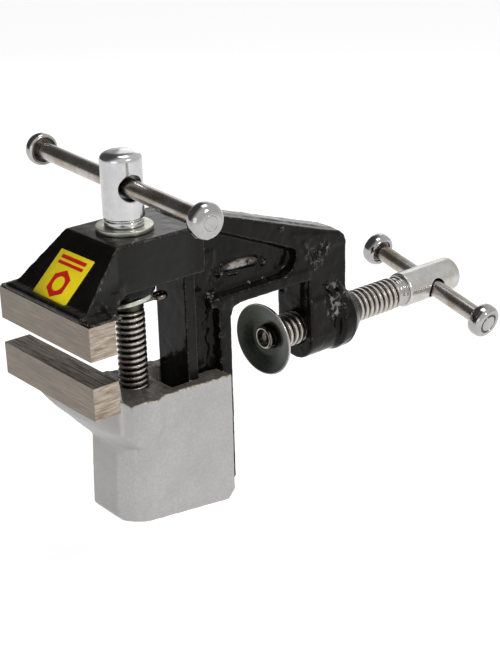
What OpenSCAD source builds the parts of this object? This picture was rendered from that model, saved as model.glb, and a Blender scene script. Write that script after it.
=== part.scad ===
// Small clamp-on bench vise. Upright jaw screw, cast body with a C clamp behind.
// Frame: origin where the clamp screw axis meets the bench face of the column.
// +X along the jaw width, +Y out of the bench face toward the pad, +Z up the jaw screw.

/* [Jaws] */
// Width of the jaws
jaw_w = 50; // [38:1:80]
// Depth of each steel jaw plate, front to back
plate_d = 9.2; // [6:0.1:16]
// Height of each steel jaw plate
plate_h = 10.7; // [6:0.1:16]
// Opening between the gripping faces as posed
jaw_gap = 8.4; // [2:0.1:28]

/* [Position] */
// Distance from the jaw screw axis back to the bench face
reach_back = 35.3; // [30:0.1:60]
// Height of the upper gripping face above the clamp screw axis
face_up = 24.7; // [20:0.1:40]
// Distance from the jaw screw axis forward to the front of the plates
reach_front = 31.7; // [24:0.1:50]

/* [Column] */
// Width of the column flanges
col_w = 16.2; // [12:0.1:30]
// Depth of the column, guide flange to bench face
col_d = 19.0; // [14:0.1:34]
// Thickness of the guide flange
guide_t = 4.3; // [3:0.1:8]
// Thickness of the bench flange
bench_t = 5.1; // [3:0.1:9]
// Thickness of the web between the flanges
web_t = 8.0; // [4:0.1:14]
// Length of the column below the upper gripping face
col_drop = 69.6; // [50:0.1:120]

/* [Head] */
// Width of the flat on top of the head
head_w = 28.2; // [20:0.1:50]
// Height of the head top above the upper gripping face
head_up = 28.0; // [20:0.1:50]
// Underside of the head above the upper gripping face
head_low = 12.4; // [8:0.1:20]
// Diameter of the boss under the head
under_boss_d = 16.4; // [12:0.1:24]

/* [Clamp arm] */
// Width of the clamp arm and of the lug's inner face
arm_w = 16.2; // [10:0.1:30]
// Opening of the clamp throat, bench face to lug
throat = 35.2; // [24:0.1:70]
// Height of the throat above the clamp screw axis
throat_up = 19.8; // [14:0.1:40]
// Outer face of the arm, measured from the bench face
arm_out = 52.8; // [40:0.1:100]
// Diameter of the boss round the clamp screw
lug_boss_d = 24.2; // [18:0.1:36]

/* [Jaw screw] */
// Outside diameter of the jaw screw thread
jaw_thread_d = 9.7; // [8:0.1:16]
// Pitch of the jaw screw thread
jaw_pitch = 2.0; // [1.25:0.05:3]
// Diameter of the screw heads
screw_head_d = 13.2; // [11:0.1:20]
// Length of the jaw screw below the upper gripping face
jaw_screw_drop = 63; // [45:1:100]
// Diameter of the cross hole in each screw head
cross_hole_d = 8.0; // [6:0.1:10]

/* [Clamp screw] */
// Outside diameter of the clamp screw thread
clamp_thread_d = 12.0; // [8:0.1:16]
// Pitch of the clamp screw thread
clamp_pitch = 2.5; // [1.25:0.05:3]
// Bench thickness held as posed, seat to pad rim
bench_gap = 19.7; // [8:0.1:34]
// Diameter of the clamp pad
pad_d = 26; // [18:0.5:36]

/* [Tommy bars] */
// Diameter of the jaw screw bar
jaw_bar_d = 5.8; // [4:0.1:8]
// Distance between the knob centres of the jaw screw bar
jaw_bar_len = 102.3; // [70:0.1:140]
// Diameter of the clamp screw bar
clamp_bar_d = 6.4; // [4:0.1:8]
// Distance between the knob centres of the clamp screw bar
clamp_bar_len = 56.8; // [40:0.1:100]
// Turn of the jaw screw bar about its screw as posed
jaw_bar_turn = -6; // [-45:1:45]
// Dip of the clamp bar's near end as posed
clamp_bar_dip = 14.8; // [0:0.1:45]

/* [Hidden] */
$fn = 48;
eps = 0.01;
run = 0.3;

face_z = face_up;
low_face_z = face_z - jaw_gap;
screw_y = -reach_back;
plate_y0 = screw_y - reach_front;
plate_y1 = plate_y0 + plate_d;
head_z0 = face_z + head_low;
head_z1 = face_z + head_up;
col_z0 = face_z - col_drop;
guide_y0 = -col_d;
guide_y1 = guide_y0 + guide_t;
bench_y0 = -bench_t;

// moving jaw
shoe_top = low_face_z - plate_h - 5.2;
shoe_top_back = shoe_top - 2.6;
shoe_bot_front = face_z - 67.5;
shoe_bot_back = face_z - 72.9;
shoe_w = 27;
nose_w = 13.8;
nose_y = screw_y - 14;
shoe_y1 = -4.5;
lip_in = web_t / 2 + 1.3;
pocket_y0 = screw_y + 8.2;
pocket_w = 18.4;

// screws
thrust_t = 1.6;
thrust_d = 18.2;
collar_z0 = head_z1 + thrust_t + 0.05;
collar_d = 12.6;
collar_h = 1.9;
neck_d = 12.0;
neck_h = 0.6;
head1_z0 = collar_z0 + collar_h + neck_h;
head1_h = 19.0;
dome_h = 2.1;
shank_d = 9.5;
bar1_z = face_z + 42.3;
boss_z0 = face_z + 7.5;
keep_t = 1.4;
keep_d = 15.6;
pin_z = face_z + 2.75;
pin_d = 2.4;
keep_z0 = pin_z + pin_d / 2 + 0.05;
pin_turn = 77;
pin_eye_y = 10.2;
pin_eye_up = 1.0;

lug_y0 = throat;
lug_y1 = arm_out;
boss_y1 = lug_y1 + 9;
pad_y = bench_gap;
pad_t = 1.3;
pad_dish = 2.6;
tip_d = 7.3;
tip_bore = 5.4;
clamp_head_y = 88.7;
clamp_head_len = 28.3;
bar2_y = 103.4;
knob1_d = 11;
knob2_d = 12.8;
knob_t = 6.4;

label_t = 0.25;
label_w = 17.8;
label_h = 16.1;
label_down = 6.4;
slope_y0 = screw_y - 12.9;
lip_z0 = face_z + plate_h;
slope_z1 = lip_z0 + 1.6;
slope_y1 = slope_y0 - (head_z1 - slope_z1) * 1.045;
slope_w = 40.4;
slope_turn = atan2(head_z1 - slope_z1, slope_y0 - slope_y1);
dowel_d = 4;
dowel_x = 15;
dowel_half = 5;
high_dowel_z = face_z + plate_h - 3.7;
low_dowel_z = low_face_z - plate_h + 3.7;
flare_top = low_face_z - 3.8;
wall_z0 = shoe_top + 3.7;
flare_bot = face_z - 29.4;
flare_y1 = plate_y1 + 13.5;
flare_turn = 49;
flank_bot = face_z - 27.2;
flank_pitch = 32;
flank_lean = 19.35;
thread2_y0 = 25.1;
clamp_turns = 24;
thread2_y1 = thread2_y0 + clamp_turns * clamp_pitch;
tip_y0 = pad_y + 0.4;
tip_lip_d = 8.7;
tip_hole_d = 7.9;
arm_y0 = -6.3;
arm_z1 = 33.0;
lug_w = 17.8;
lug_z = -2.8;
jaw_turns = 31;
thread1_z0 = face_z + 0.4 - jaw_turns * jaw_pitch;
bar1_s0 = -55.1;
bar2_s0 = -26.6;
rivet1_d = 4.4;
rivet2_d = 6.0;

black = [0.07, 0.07, 0.075];
steel = [0.52, 0.50, 0.48];
silver = [0.70, 0.70, 0.69];
chrome = [0.78, 0.79, 0.80];

// Which node to print; all shows the whole vise

// plate standing in the plane of X, drawn as [y, z] points
module side_plate(points, x0, x1) {
    translate([x0, 0, 0])
        rotate([90, 0, 90])
            linear_extrude(height = x1 - x0)
                polygon(points);
}

// flat slab drawn as [x, y] points
module floor_plate(points, z0, z1) {
    translate([0, 0, z0])
        linear_extrude(height = z1 - z0)
            polygon(points);
}

module round_y(d, y0, y1, z = 0, x = 0) {
    translate([x, y1, z])
        rotate([90, 0, 0])
            cylinder(d = d, h = y1 - y0);
}

module round_z(d, z0, z1, y = 0, x = 0) {
    translate([x, y, z0])
        cylinder(d = d, h = z1 - z0);
}

// turned profile about +Y, drawn as [radius, y] points
module turned_y(points) {
    rotate([-90, 0, 0])
        rotate_extrude()
            polygon(points);
}

// rolled thread drawn as level rings of the right pitch
module ring_thread(d, pitch, turns) {
    root = d / 2 - 0.55 * pitch;
    for (i = [0 : turns - 1])
        translate([0, 0, i * pitch])
            rotate_extrude()
                polygon([[0, 0], [root, 0], [root, 0.12 * pitch],
                    [d / 2, 0.42 * pitch], [d / 2, 0.58 * pitch],
                    [root, 0.88 * pitch], [root, pitch], [0, pitch]]);
}

// upright plate drawn as [x, z] points, standing from y0 to y1
module front_plate(points, y0, y1) {
    translate([0, y1, 0])
        rotate([90, 0, 0])
            linear_extrude(height = y1 - y0)
                polygon(points);
}

// head with its sloped front, the lip over the plate and the wall behind it
module head_solid() {
    intersection() {
        side_plate([[guide_y0 + 1.5, head_z0], [-14.8, head_z0], [-14.8, head_z1],
            [slope_y0, head_z1], [slope_y1, slope_z1], [plate_y0 + 0.4, slope_z1],
            [plate_y0 + 0.4, slope_z1 - 1], [slope_y1 + 3, head_z0]],
            -jaw_w / 2, jaw_w / 2);
        floor_plate([[-head_w / 2, -14.8], [-head_w / 2, slope_y0],
            [-slope_w / 2, slope_y1], [-slope_w / 2, plate_y0],
            [slope_w / 2, plate_y0], [slope_w / 2, slope_y1],
            [head_w / 2, slope_y0], [head_w / 2, -14.8]],
            slope_z1 - 1, head_z1 + 1);
    }
    // lip over the plate, lower at its ends
    front_plate([[-jaw_w / 2, lip_z0], [-jaw_w / 2, lip_z0 + 0.4],
        [-slope_w / 2 - 1.2, slope_z1], [slope_w / 2 + 1.2, slope_z1],
        [jaw_w / 2, lip_z0 + 0.4], [jaw_w / 2, lip_z0]], plate_y0 + 0.4, plate_y1 + 2);
    // wall behind the plate
    floor_plate([[-jaw_w / 2, plate_y1], [jaw_w / 2, plate_y1],
        [12, plate_y1 + 9], [-12, plate_y1 + 9]], face_z + 0.8, slope_z1 - 1);
    // flare from wall to side
    intersection() {
        floor_plate([[-jaw_w / 2, plate_y1], [jaw_w / 2, plate_y1],
            [head_w / 2, plate_y1 + 10], [-head_w / 2, plate_y1 + 10]],
            head_z0 - 2, head_z1);
        front_plate([[-jaw_w / 2, head_z0 - 2], [-jaw_w / 2, lip_z0 + 0.4],
            [-slope_w / 2 - 1.2, slope_z1 + 0.4], [-slope_w / 2 + 2.5, slope_z1 + 3],
            [slope_w / 2 - 2.5, slope_z1 + 3], [slope_w / 2 + 1.2, slope_z1 + 0.4],
            [jaw_w / 2, lip_z0 + 0.4], [jaw_w / 2, head_z0 - 2]],
            plate_y1 - 1, plate_y1 + 11);
    }
    round_z(under_boss_d, boss_z0, head_z0 + 1, screw_y);
}

module column_solid() {
    side_plate([[guide_y0, col_z0 + 1.5], [guide_y0 + 1.5, col_z0], [guide_y1, col_z0],
        [guide_y1, head_z0 + 2], [guide_y0, head_z0 + 2]], -col_w / 2, col_w / 2);
    side_plate([[guide_y1 - 1, col_z0], [bench_y0 + 1, col_z0],
        [bench_y0 + 1, head_z0 + 2], [guide_y1 - 1, head_z0 + 2]], -web_t / 2, web_t / 2);
    side_plate([[bench_y0, col_z0], [-1.5, col_z0], [0, col_z0 + 1.5],
        [0, throat_up + 4], [bench_y0, throat_up + 4]], -col_w / 2, col_w / 2);
}

// arm from the head back to the lug, ribbed like an I beam
module arm_solid() {
    side_plate([[-16, head_z1], [arm_y0, head_z1], [lug_y1 - 3.2, arm_z1 + 1.3],
        [lug_y1 - 1.2, arm_z1 - 0.4], [lug_y1, arm_z1 - 3.4], [lug_y1, 8],
        [lug_y0, 8], [lug_y0, throat_up], [0, throat_up],
        [-8, throat_up], [-16, throat_up + 10]], -web_t / 2, web_t / 2);
    // top flange
    side_plate([[-16, head_z1], [arm_y0, head_z1], [lug_y1 - 3.2, arm_z1 + 1.3],
        [lug_y1 - 1.2, arm_z1 - 0.4], [lug_y1, arm_z1 - 3.4], [lug_y0 - 4, arm_z1 - 1.4],
        [arm_y0, head_z1 - 5.5], [-16, head_z1 - 5.5]], -arm_w / 2, arm_w / 2);
    // lower flange
    side_plate([[-9, throat_up + 4], [-8, throat_up + 0.6], [0, throat_up], [lug_y0, throat_up],
        [lug_y0, throat_up + 4.1]], -arm_w / 2, arm_w / 2);
    // lug block with the rounded recess end
    side_plate([[lug_y0 - 11, throat_up + 4.1], [lug_y0 - 7.6, throat_up + 6.4],
        [lug_y0 - 6, throat_up + 9.4], [lug_y0 - 6.2, throat_up + 12.4],
        [lug_y0 - 9, arm_z1 + 5.6], [lug_y1 - 3.2, arm_z1 + 1.3],
        [lug_y1 - 1.2, arm_z1 - 0.4], [lug_y1, arm_z1 - 3.4], [lug_y1, 2],
        [lug_y0, 2], [lug_y0, throat_up], [lug_y0 - 12, throat_up + 1]],
        -arm_w / 2, arm_w / 2);
    // throat corner webs
    side_plate([[-1, throat_up + 1], [3.2, throat_up + 1], [3.2, throat_up],
        [0.9, throat_up - 0.9], [0, throat_up - 3.2], [-1, throat_up - 3.2]],
        -arm_w / 2, arm_w / 2);
    // lug eye
    intersection() {
        union() {
            round_y(lug_w, lug_y0, lug_y1, lug_z);
            side_plate([[lug_y0, lug_z], [lug_y1, lug_z], [lug_y1, 12], [lug_y0, 12]],
                -lug_w / 2, lug_w / 2);
        }
        side_plate([[lug_y0, -20], [lug_y1, -20], [lug_y1, 12], [lug_y0, 12]], -20, 20);
    }
    turned_boss();
}

// boss round the clamp screw, domed at its outer end
module turned_boss() {
    turned_y([[0, lug_y1 - 4.6], [lug_boss_d / 2 - 1.2, lug_y1 - 4.6],
        [lug_boss_d / 2, lug_y1 - 3.2], [lug_boss_d / 2, lug_y1 + 1.6],
        [lug_boss_d / 2 - 1.6, lug_y1 + 4.2], [8.4, boss_y1 - 2.4],
        [7.2, boss_y1], [0, boss_y1]]);
}

module fixed_jaw_body() {
    color(black)
    difference() {
        union() {
            head_solid();
            column_solid();
            arm_solid();
        }
        round_z(shank_d + 0.16, boss_z0 - 1, head_z1 + 1, screw_y);
        round_y(clamp_thread_d + 0.16, lug_y0 - 1, boss_y1 + 1);
        for (x = [-dowel_x, dowel_x])
            round_y(dowel_d, plate_y1 - 1, plate_y1 + dowel_half, high_dowel_z, x);
    }
}

// hardened jaw bar with two blind dowel holes in its back
module jaw_plate(z0, dowel_z) {
    color(steel)
    difference() {
        translate([-jaw_w / 2, plate_y0, z0])
            cube([jaw_w, plate_d, plate_h]);
        for (x = [-dowel_x, dowel_x])
            round_y(dowel_d, plate_y1 - dowel_half, plate_y1 + 1, dowel_z, x);
    }
}

module fixed_jaw_plate() {
    jaw_plate(face_z, high_dowel_z);
}

module dowels(z) {
    color(steel)
    for (x = [-dowel_x, dowel_x])
        round_y(dowel_d, plate_y1 - dowel_half, plate_y1 + dowel_half, z, x);
}

module fixed_plate_dowels() {
    dowels(high_dowel_z);
}

module name_label() {
    color([0.85, 0.76, 0.05])
    translate([0, slope_y0, head_z1])
        rotate([slope_turn, 0, 0])
            translate([-label_w / 2, -label_down - label_h, 0])
                cube([label_w, label_h, label_t]);
}

module thrust_washer() {
    color([0.72, 0.68, 0.50])
    difference() {
        round_z(thrust_d, head_z1, head_z1 + thrust_t, screw_y);
        round_z(shank_d + 0.16, head_z1 - 1, head_z1 + thrust_t + 1, screw_y);
    }
}

module vise_screw() {
    color(chrome)
    translate([0, screw_y, 0])
    difference() {
        union() {
            translate([0, 0, thread1_z0])
                ring_thread(jaw_thread_d, jaw_pitch, jaw_turns);
            round_z(jaw_thread_d - 2.4, face_z - jaw_screw_drop, thread1_z0 + eps);
            round_z(shank_d, thread1_z0 + jaw_turns * jaw_pitch - eps, collar_z0 + eps);
            round_z(collar_d, collar_z0, collar_z0 + collar_h);
            round_z(neck_d, collar_z0 + collar_h - eps, head1_z0 + eps);
            translate([0, 0, head1_z0])
                rotate_extrude()
                    polygon([[0, 0], [screw_head_d / 2 - 0.4, 0], [screw_head_d / 2, 0.4],
                        [screw_head_d / 2, head1_h], [screw_head_d / 2 - 0.5, head1_h + 0.9],
                        [screw_head_d / 2 - 2.1, head1_h + dome_h - 0.2],
                        [screw_head_d / 2 - 3.6, head1_h + dome_h], [0, head1_h + dome_h]]);
        }
        translate([0, 0, bar1_z])
            rotate([0, 0, jaw_bar_turn])
                rotate([0, 90, 0])
                    cylinder(d = cross_hole_d, h = 30, center = true);
        translate([0, 0, pin_z])
            rotate([0, 0, pin_turn])
                rotate([0, 90, 0])
                    cylinder(d = pin_d, h = 30, center = true);
    }
}

module retaining_washer() {
    color([0.75, 0.75, 0.74])
    difference() {
        round_z(keep_d, keep_z0, keep_z0 + keep_t, screw_y);
        round_z(shank_d + 0.16, keep_z0 - 1, keep_z0 + keep_t + 1, screw_y);
    }
}

// split pin with its eye at the back and two legs bent apart in front
module split_pin() {
    color(steel)
    translate([0, screw_y, pin_z])
        rotate([0, 0, pin_turn]) {
            rotate([0, 90, 0])
                translate([0, 0, -7.4])
                    cylinder(d = pin_d, h = 16.1);
            translate([pin_eye_y, 0, pin_eye_up])
                rotate_extrude()
                    translate([1.5, 0, 0])
                        circle(d = 1.5, $fn = 20);
            for (s = [-1, 1])
                translate([-7.0, 0, s * 0.5])
                    rotate([s * 12, -90 - s * 38, 0])
                        cylinder(d = 1.15, h = 5.2, $fn = 20);
        }
}

// turned knob with a dished back and a riveted rod end, drawn along +Z
module knob(d, t) {
    rotate_extrude()
        polygon([[0, 0], [d / 2 - 2.0, 0], [d / 2 - 0.6, 0.7], [d / 2, 2.0],
            [d / 2, t - 2.2], [d / 2 - 0.7, t - 0.8], [d / 2 - 2.1, t],
            [d / 2 - 2.6, t - 0.3], [0, t - 0.3]]);
}

// places its children on the jaw screw bar's axis, +Z toward the +X end
module on_bar1(s) {
    translate([0, screw_y, bar1_z])
        rotate([0, 0, jaw_bar_turn])
            rotate([0, 90, 0])
                translate([0, 0, s])
                    children();
}

module on_bar2(s) {
    translate([0, bar2_y, 0])
        rotate([0, 90 + clamp_bar_dip, 0])
            translate([0, 0, s])
                children();
}

module vise_bar() {
    color(chrome)
    on_bar1(bar1_s0) {
        cylinder(d = jaw_bar_d, h = jaw_bar_len);
        translate([0, 0, -knob_t / 2])
            cylinder(d = rivet1_d, h = jaw_bar_len + knob_t);
    }
}

module vise_knob_left() {
    color(chrome)
    on_bar1(bar1_s0)
        difference() {
            mirror([0, 0, 1])
                translate([0, 0, -knob_t / 2])
                    knob(knob1_d, knob_t);
            cylinder(d = rivet1_d, h = 20, center = true);
            cylinder(d = jaw_bar_d, h = 20);
        }
}

module vise_knob_right() {
    color(chrome)
    on_bar1(bar1_s0 + jaw_bar_len)
        difference() {
            translate([0, 0, -knob_t / 2])
                knob(knob1_d, knob_t);
            cylinder(d = rivet1_d, h = 20, center = true);
            translate([0, 0, -20])
                cylinder(d = jaw_bar_d, h = 20);
        }
}

// block standing on a tilted plane, large enough to cover the jaw
module above_plane(at, turn) {
    translate(at)
        rotate(turn)
            translate([-60, -60, 0])
                cube([120, 120, 80]);
}

// cast shoe that carries the lower plate and slides on the column
module shoe_solid() {
    intersection() {
        side_plate([[nose_y, shoe_bot_front + 2], [nose_y + 2, shoe_bot_front],
            [shoe_y1 - 3, shoe_bot_back], [shoe_y1, shoe_bot_back + 3.4],
            [shoe_y1, shoe_top_back - 1.5], [shoe_y1 - 1.5, shoe_top_back],
            [flare_y1, shoe_top], [nose_y, shoe_top]], -shoe_w / 2, shoe_w / 2);
        floor_plate([[-nose_w / 2, nose_y], [nose_w / 2, nose_y],
            [nose_w / 2 + 4.4, nose_y + 4.6], [shoe_w / 2, nose_y + 9.6],
            [shoe_w / 2, shoe_y1], [-shoe_w / 2, shoe_y1],
            [-shoe_w / 2, nose_y + 9.6], [-nose_w / 2 - 4.4, nose_y + 4.6]],
            shoe_bot_back - 1, shoe_top + 1);
    }
    // flare out to the full jaw width
    intersection() {
        floor_plate([[-jaw_w / 2, plate_y1], [jaw_w / 2, plate_y1],
            [shoe_w / 2, flare_y1], [shoe_w / 2, flare_y1 + 8],
            [-shoe_w / 2, flare_y1 + 8], [-shoe_w / 2, flare_y1]],
            shoe_bot_back, flare_top);
        above_plane([0, plate_y1, flare_bot], [-flare_turn, 0, 0]);
        above_plane([jaw_w / 2, plate_y1, flank_bot], [-flank_pitch, -flank_lean, 0]);
        above_plane([-jaw_w / 2, plate_y1, flank_bot], [-flank_pitch, flank_lean, 0]);
        side_plate([[plate_y1, -60], [flare_y1 + 7, -60], [flare_y1 + 7, shoe_top - 0.4],
            [flare_y1, shoe_top], [plate_y1 + 9.5, shoe_top + 1.3],
            [plate_y1 + 6.4, shoe_top + 4], [plate_y1 + 3, shoe_top + 7.0],
            [plate_y1, shoe_top + 8.4]], -jaw_w / 2, jaw_w / 2);
    }
    // wall behind the plate
    intersection() {
        floor_plate([[-21.5, plate_y1], [21.5, plate_y1],
            [16.5, plate_y1 + 4.5], [11.5, plate_y1 + 10.5],
            [-11.5, plate_y1 + 10.5], [-16.5, plate_y1 + 4.5]], wall_z0, flare_top);
        side_plate([[plate_y1, wall_z0], [plate_y1 + 7.8, wall_z0], [plate_y1 + 7.2, shoe_top + 5],
            [plate_y1 + 4.9, flare_top - 0.6], [plate_y1, flare_top]],
            -jaw_w / 2, jaw_w / 2);
    }
}

module moving_jaw() {
    color(silver)
    difference() {
        shoe_solid();
        // threaded bore with a wider bore under it
        round_z(jaw_thread_d + 0.16, shoe_bot_back - 1, shoe_top + 20, screw_y);
        round_z(jaw_thread_d + 2.8, shoe_bot_back - 1, shoe_top - 21, screw_y);
        // slot round the guide flange, with lips in the column's side grooves
        floor_plate([[-pocket_w / 2, pocket_y0], [pocket_w / 2, pocket_y0],
            [pocket_w / 2, guide_y0 - 0.6], [col_w / 2 + run, guide_y0 - 0.6],
            [col_w / 2 + run, guide_y1 + run], [lip_in, guide_y1 + run],
            [lip_in, bench_y0 - run], [col_w / 2 + run, bench_y0 - run],
            [col_w / 2 + run, 1], [-col_w / 2 - run, 1],
            [-col_w / 2 - run, bench_y0 - run], [-lip_in, bench_y0 - run],
            [-lip_in, guide_y1 + run], [-col_w / 2 - run, guide_y1 + run],
            [-col_w / 2 - run, guide_y0 - 0.6], [-pocket_w / 2, guide_y0 - 0.6]],
            shoe_bot_back - 1, shoe_top + 1);
        for (x = [-dowel_x, dowel_x])
            round_y(dowel_d, plate_y1 - 1, plate_y1 + dowel_half, low_dowel_z, x);
    }
}

module moving_jaw_plate() {
    jaw_plate(low_face_z - plate_h, low_dowel_z);
}

module moving_plate_dowels() {
    dowels(low_dowel_z);
}

// screw head with rounded end, drawn along +Z from its shoulder
module clamp_head() {
    rotate_extrude()
        polygon([[0, 0], [screw_head_d / 2 - 0.5, 0], [screw_head_d / 2, 0.5],
            [screw_head_d / 2, clamp_head_len - 1.2],
            [screw_head_d / 2 - 0.5, clamp_head_len - 0.3],
            [screw_head_d / 2 - 1.4, clamp_head_len], [0, clamp_head_len]]);
}

module clamp_screw() {
    color(chrome)
    difference() {
        rotate([-90, 0, 0]) {
            translate([0, 0, thread2_y0])
                ring_thread(clamp_thread_d, clamp_pitch, clamp_turns);
            translate([0, 0, tip_y0])
                rotate_extrude()
                    polygon([[0, 3.6], [tip_bore / 2, 3.6], [tip_bore / 2, 0.5],
                        [tip_bore / 2 + 0.5, 0], [tip_lip_d / 2, 0.3],
                        [tip_lip_d / 2, 1.1], [tip_d / 2, 1.7], [tip_d / 2, 3.7],
                        [4.8, 3.7], [4.8, 5.2], [0, 5.2]]);
            translate([0, 0, thread2_y0 + clamp_turns * clamp_pitch - eps])
                cylinder(d = 10.4, h = clamp_head_y - thread2_y1 + 2 * eps);
            translate([0, 0, clamp_head_y])
                clamp_head();
        }
        on_bar2(0)
            cylinder(d = cross_hole_d, h = 40, center = true);
    }
}

// dished pad held on the screw by the rolled lip
module clamp_pad() {
    color([0.42, 0.43, 0.42])
    turned_y([[tip_hole_d / 2, pad_y + pad_dish], [6.4, pad_y + pad_dish - 0.55],
        [9.6, pad_y + 0.95], [pad_d / 2 - 0.5, pad_y], [pad_d / 2, pad_y + 0.4],
        [pad_d / 2, pad_y + 0.9], [pad_d / 2 - 0.4, pad_y + 1.2],
        [10, pad_y + 2.2], [6.8, pad_y + pad_dish + 0.8],
        [tip_hole_d / 2, pad_y + pad_dish + pad_t]]);
}

module clamp_bar() {
    color(chrome)
    on_bar2(bar2_s0) {
        cylinder(d = clamp_bar_d, h = clamp_bar_len);
        translate([0, 0, -knob_t / 2])
            cylinder(d = rivet2_d, h = clamp_bar_len + knob_t);
    }
}

module clamp_knob_far() {
    color(chrome)
    on_bar2(bar2_s0)
        difference() {
            mirror([0, 0, 1])
                translate([0, 0, -knob_t / 2])
                    knob(knob2_d, knob_t);
            cylinder(d = rivet2_d, h = 20, center = true);
            cylinder(d = clamp_bar_d, h = 20);
        }
}

module clamp_knob_near() {
    color(chrome)
    on_bar2(bar2_s0 + clamp_bar_len)
        difference() {
            translate([0, 0, -knob_t / 2])
                knob(knob2_d, knob_t);
            cylinder(d = rivet2_d, h = 20, center = true);
            translate([0, 0, -20])
                cylinder(d = clamp_bar_d, h = 20);
        }
}

fixed_jaw_body();
fixed_jaw_plate();
fixed_plate_dowels();
name_label();
thrust_washer();
vise_screw();
retaining_washer();
split_pin();
vise_bar();
vise_knob_left();
vise_knob_right();
moving_jaw();
moving_jaw_plate();
moving_plate_dowels();
clamp_screw();
clamp_pad();
clamp_bar();
clamp_knob_far();
clamp_knob_near();
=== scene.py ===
"""Looks for the bench vise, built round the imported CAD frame.

Lengths are in millimetres until a mesh is made.
"""

import math
from itertools import product

import bpy
import numpy as np
from mathutils import Matrix, Vector


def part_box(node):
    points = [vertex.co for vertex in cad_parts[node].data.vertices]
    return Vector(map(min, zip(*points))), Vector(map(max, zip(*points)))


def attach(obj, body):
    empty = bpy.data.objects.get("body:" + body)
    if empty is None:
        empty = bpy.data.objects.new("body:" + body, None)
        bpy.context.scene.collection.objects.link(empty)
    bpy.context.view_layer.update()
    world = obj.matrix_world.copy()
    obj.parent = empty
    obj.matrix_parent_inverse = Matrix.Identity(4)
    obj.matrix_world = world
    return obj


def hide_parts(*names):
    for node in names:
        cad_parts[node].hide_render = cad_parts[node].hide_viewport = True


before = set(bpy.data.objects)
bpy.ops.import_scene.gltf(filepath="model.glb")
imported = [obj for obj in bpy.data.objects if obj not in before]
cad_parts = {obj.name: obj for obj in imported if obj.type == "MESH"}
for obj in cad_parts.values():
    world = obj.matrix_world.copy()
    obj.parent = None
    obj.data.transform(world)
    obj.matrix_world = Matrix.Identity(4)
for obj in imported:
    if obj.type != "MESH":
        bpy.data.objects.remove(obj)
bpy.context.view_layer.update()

# --- places taken from the CAD nodes ---


def span(node, axis):
    """Lowest and highest of a CAD node along one axis, in mm."""
    low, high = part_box(node)
    return low[axis] * 1000, high[axis] * 1000


FACE_Z = span("fixed_jaw_plate", 2)[0]
PLATE_Y0, PLATE_Y1 = span("fixed_jaw_plate", 1)
PLATE_TOP = span("fixed_jaw_plate", 2)[1]
LOW_Z0, LOW_FACE_Z = span("moving_jaw_plate", 2)
JAW_HALF = span("fixed_jaw_plate", 0)[1]
SCREW_Y = sum(span("thrust_washer", 1)) / 2
HEAD_TOP, THRUST_TOP = span("thrust_washer", 2)
SCREW_Z0, SCREW_Z1 = span("vise_screw", 2)
KEEP_Z0, KEEP_Z1 = span("retaining_washer", 2)
PAD_Y0 = span("clamp_pad", 1)[0]
CLAMP_Y0, CLAMP_Y1 = span("clamp_screw", 1)
SHOE_Z0, SHOE_Z1 = span("moving_jaw", 2)
COLUMN_Z0 = span("fixed_jaw_body", 2)[0]
BOSS_Y1 = span("fixed_jaw_body", 1)[1]

# the pad hangs this far below the screw's axis, on its loose lip
PAD_DROP = 0.28

# mesh cell of the castings and of the screw heads
CASTING_CELL, HEAD_CELL = 0.45, 0.22


def move(x, y, z):
    return Matrix.Translation((x, y, z))


def turn(degrees, axis):
    return Matrix.Rotation(math.radians(degrees), 4, axis)


# --- solids as distance functions, turned into meshes ---


def smooth_min(a, b, k):
    h = np.clip(0.5 + 0.5 * (b - a) / k, 0, 1)
    return b + (a - b) * h - k * h * (1 - h)


def smooth_max(a, b, k):
    return -smooth_min(-a, -b, k)


def inset(points, r):
    """The polygon drawn r further in, so that growing it by r again rounds its corners."""
    p = np.array(points, float)
    area = np.sum(p[:, 0] * np.roll(p[:, 1], -1) - np.roll(p[:, 0], -1) * p[:, 1])
    if area < 0:
        p = p[::-1]
    e = np.roll(p, -1, 0) - p
    e /= np.linalg.norm(e, axis=1)[:, None]
    n = np.stack([-e[:, 1], e[:, 0]], 1)
    n0, n1 = np.roll(n, 1, 0), n
    return p + r * (n0 + n1) / (1 + np.sum(n0 * n1, 1))[:, None]


def flat(u, v, points, r=0.0):
    """Signed distance to a polygon whose outer corners are rounded by r."""
    q = inset(points, r) if r else np.array(points, float)
    near, inside = None, False
    for (ax, ay), (bx, by) in zip(q, np.roll(q, 1, 0)):
        ex, ey, wx, wy = bx - ax, by - ay, u - ax, v - ay
        t = np.clip((wx * ex + wy * ey) / (ex * ex + ey * ey), 0, 1)
        d = (wx - ex * t) ** 2 + (wy - ey * t) ** 2
        near = d if near is None else np.minimum(near, d)
        up, down, left = v >= ay, v < by, ex * wy > ey * wx
        inside = inside ^ ((up & down & left) | ~(up | down | left))
    return np.where(inside, -1, 1) * np.sqrt(near) - r


def prism(u, v, w, points, lo, hi, r=0.6):
    """Polygon in u, v, drawn out along w from lo to hi, with every outer edge rounded by r."""
    p = flat(u, v, points, r) + r
    q = np.abs(w - (lo + hi) / 2) - (hi - lo) / 2 + r
    return np.minimum(np.maximum(p, q), 0) + np.hypot(np.maximum(p, 0), np.maximum(q, 0)) - r


def rod(u, v, w, d, lo, hi, r=0.4):
    p = np.hypot(u, v) - d / 2 + r
    q = np.abs(w - (lo + hi) / 2) - (hi - lo) / 2 + r
    return np.minimum(np.maximum(p, q), 0) + np.hypot(np.maximum(p, 0), np.maximum(q, 0)) - r


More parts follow.
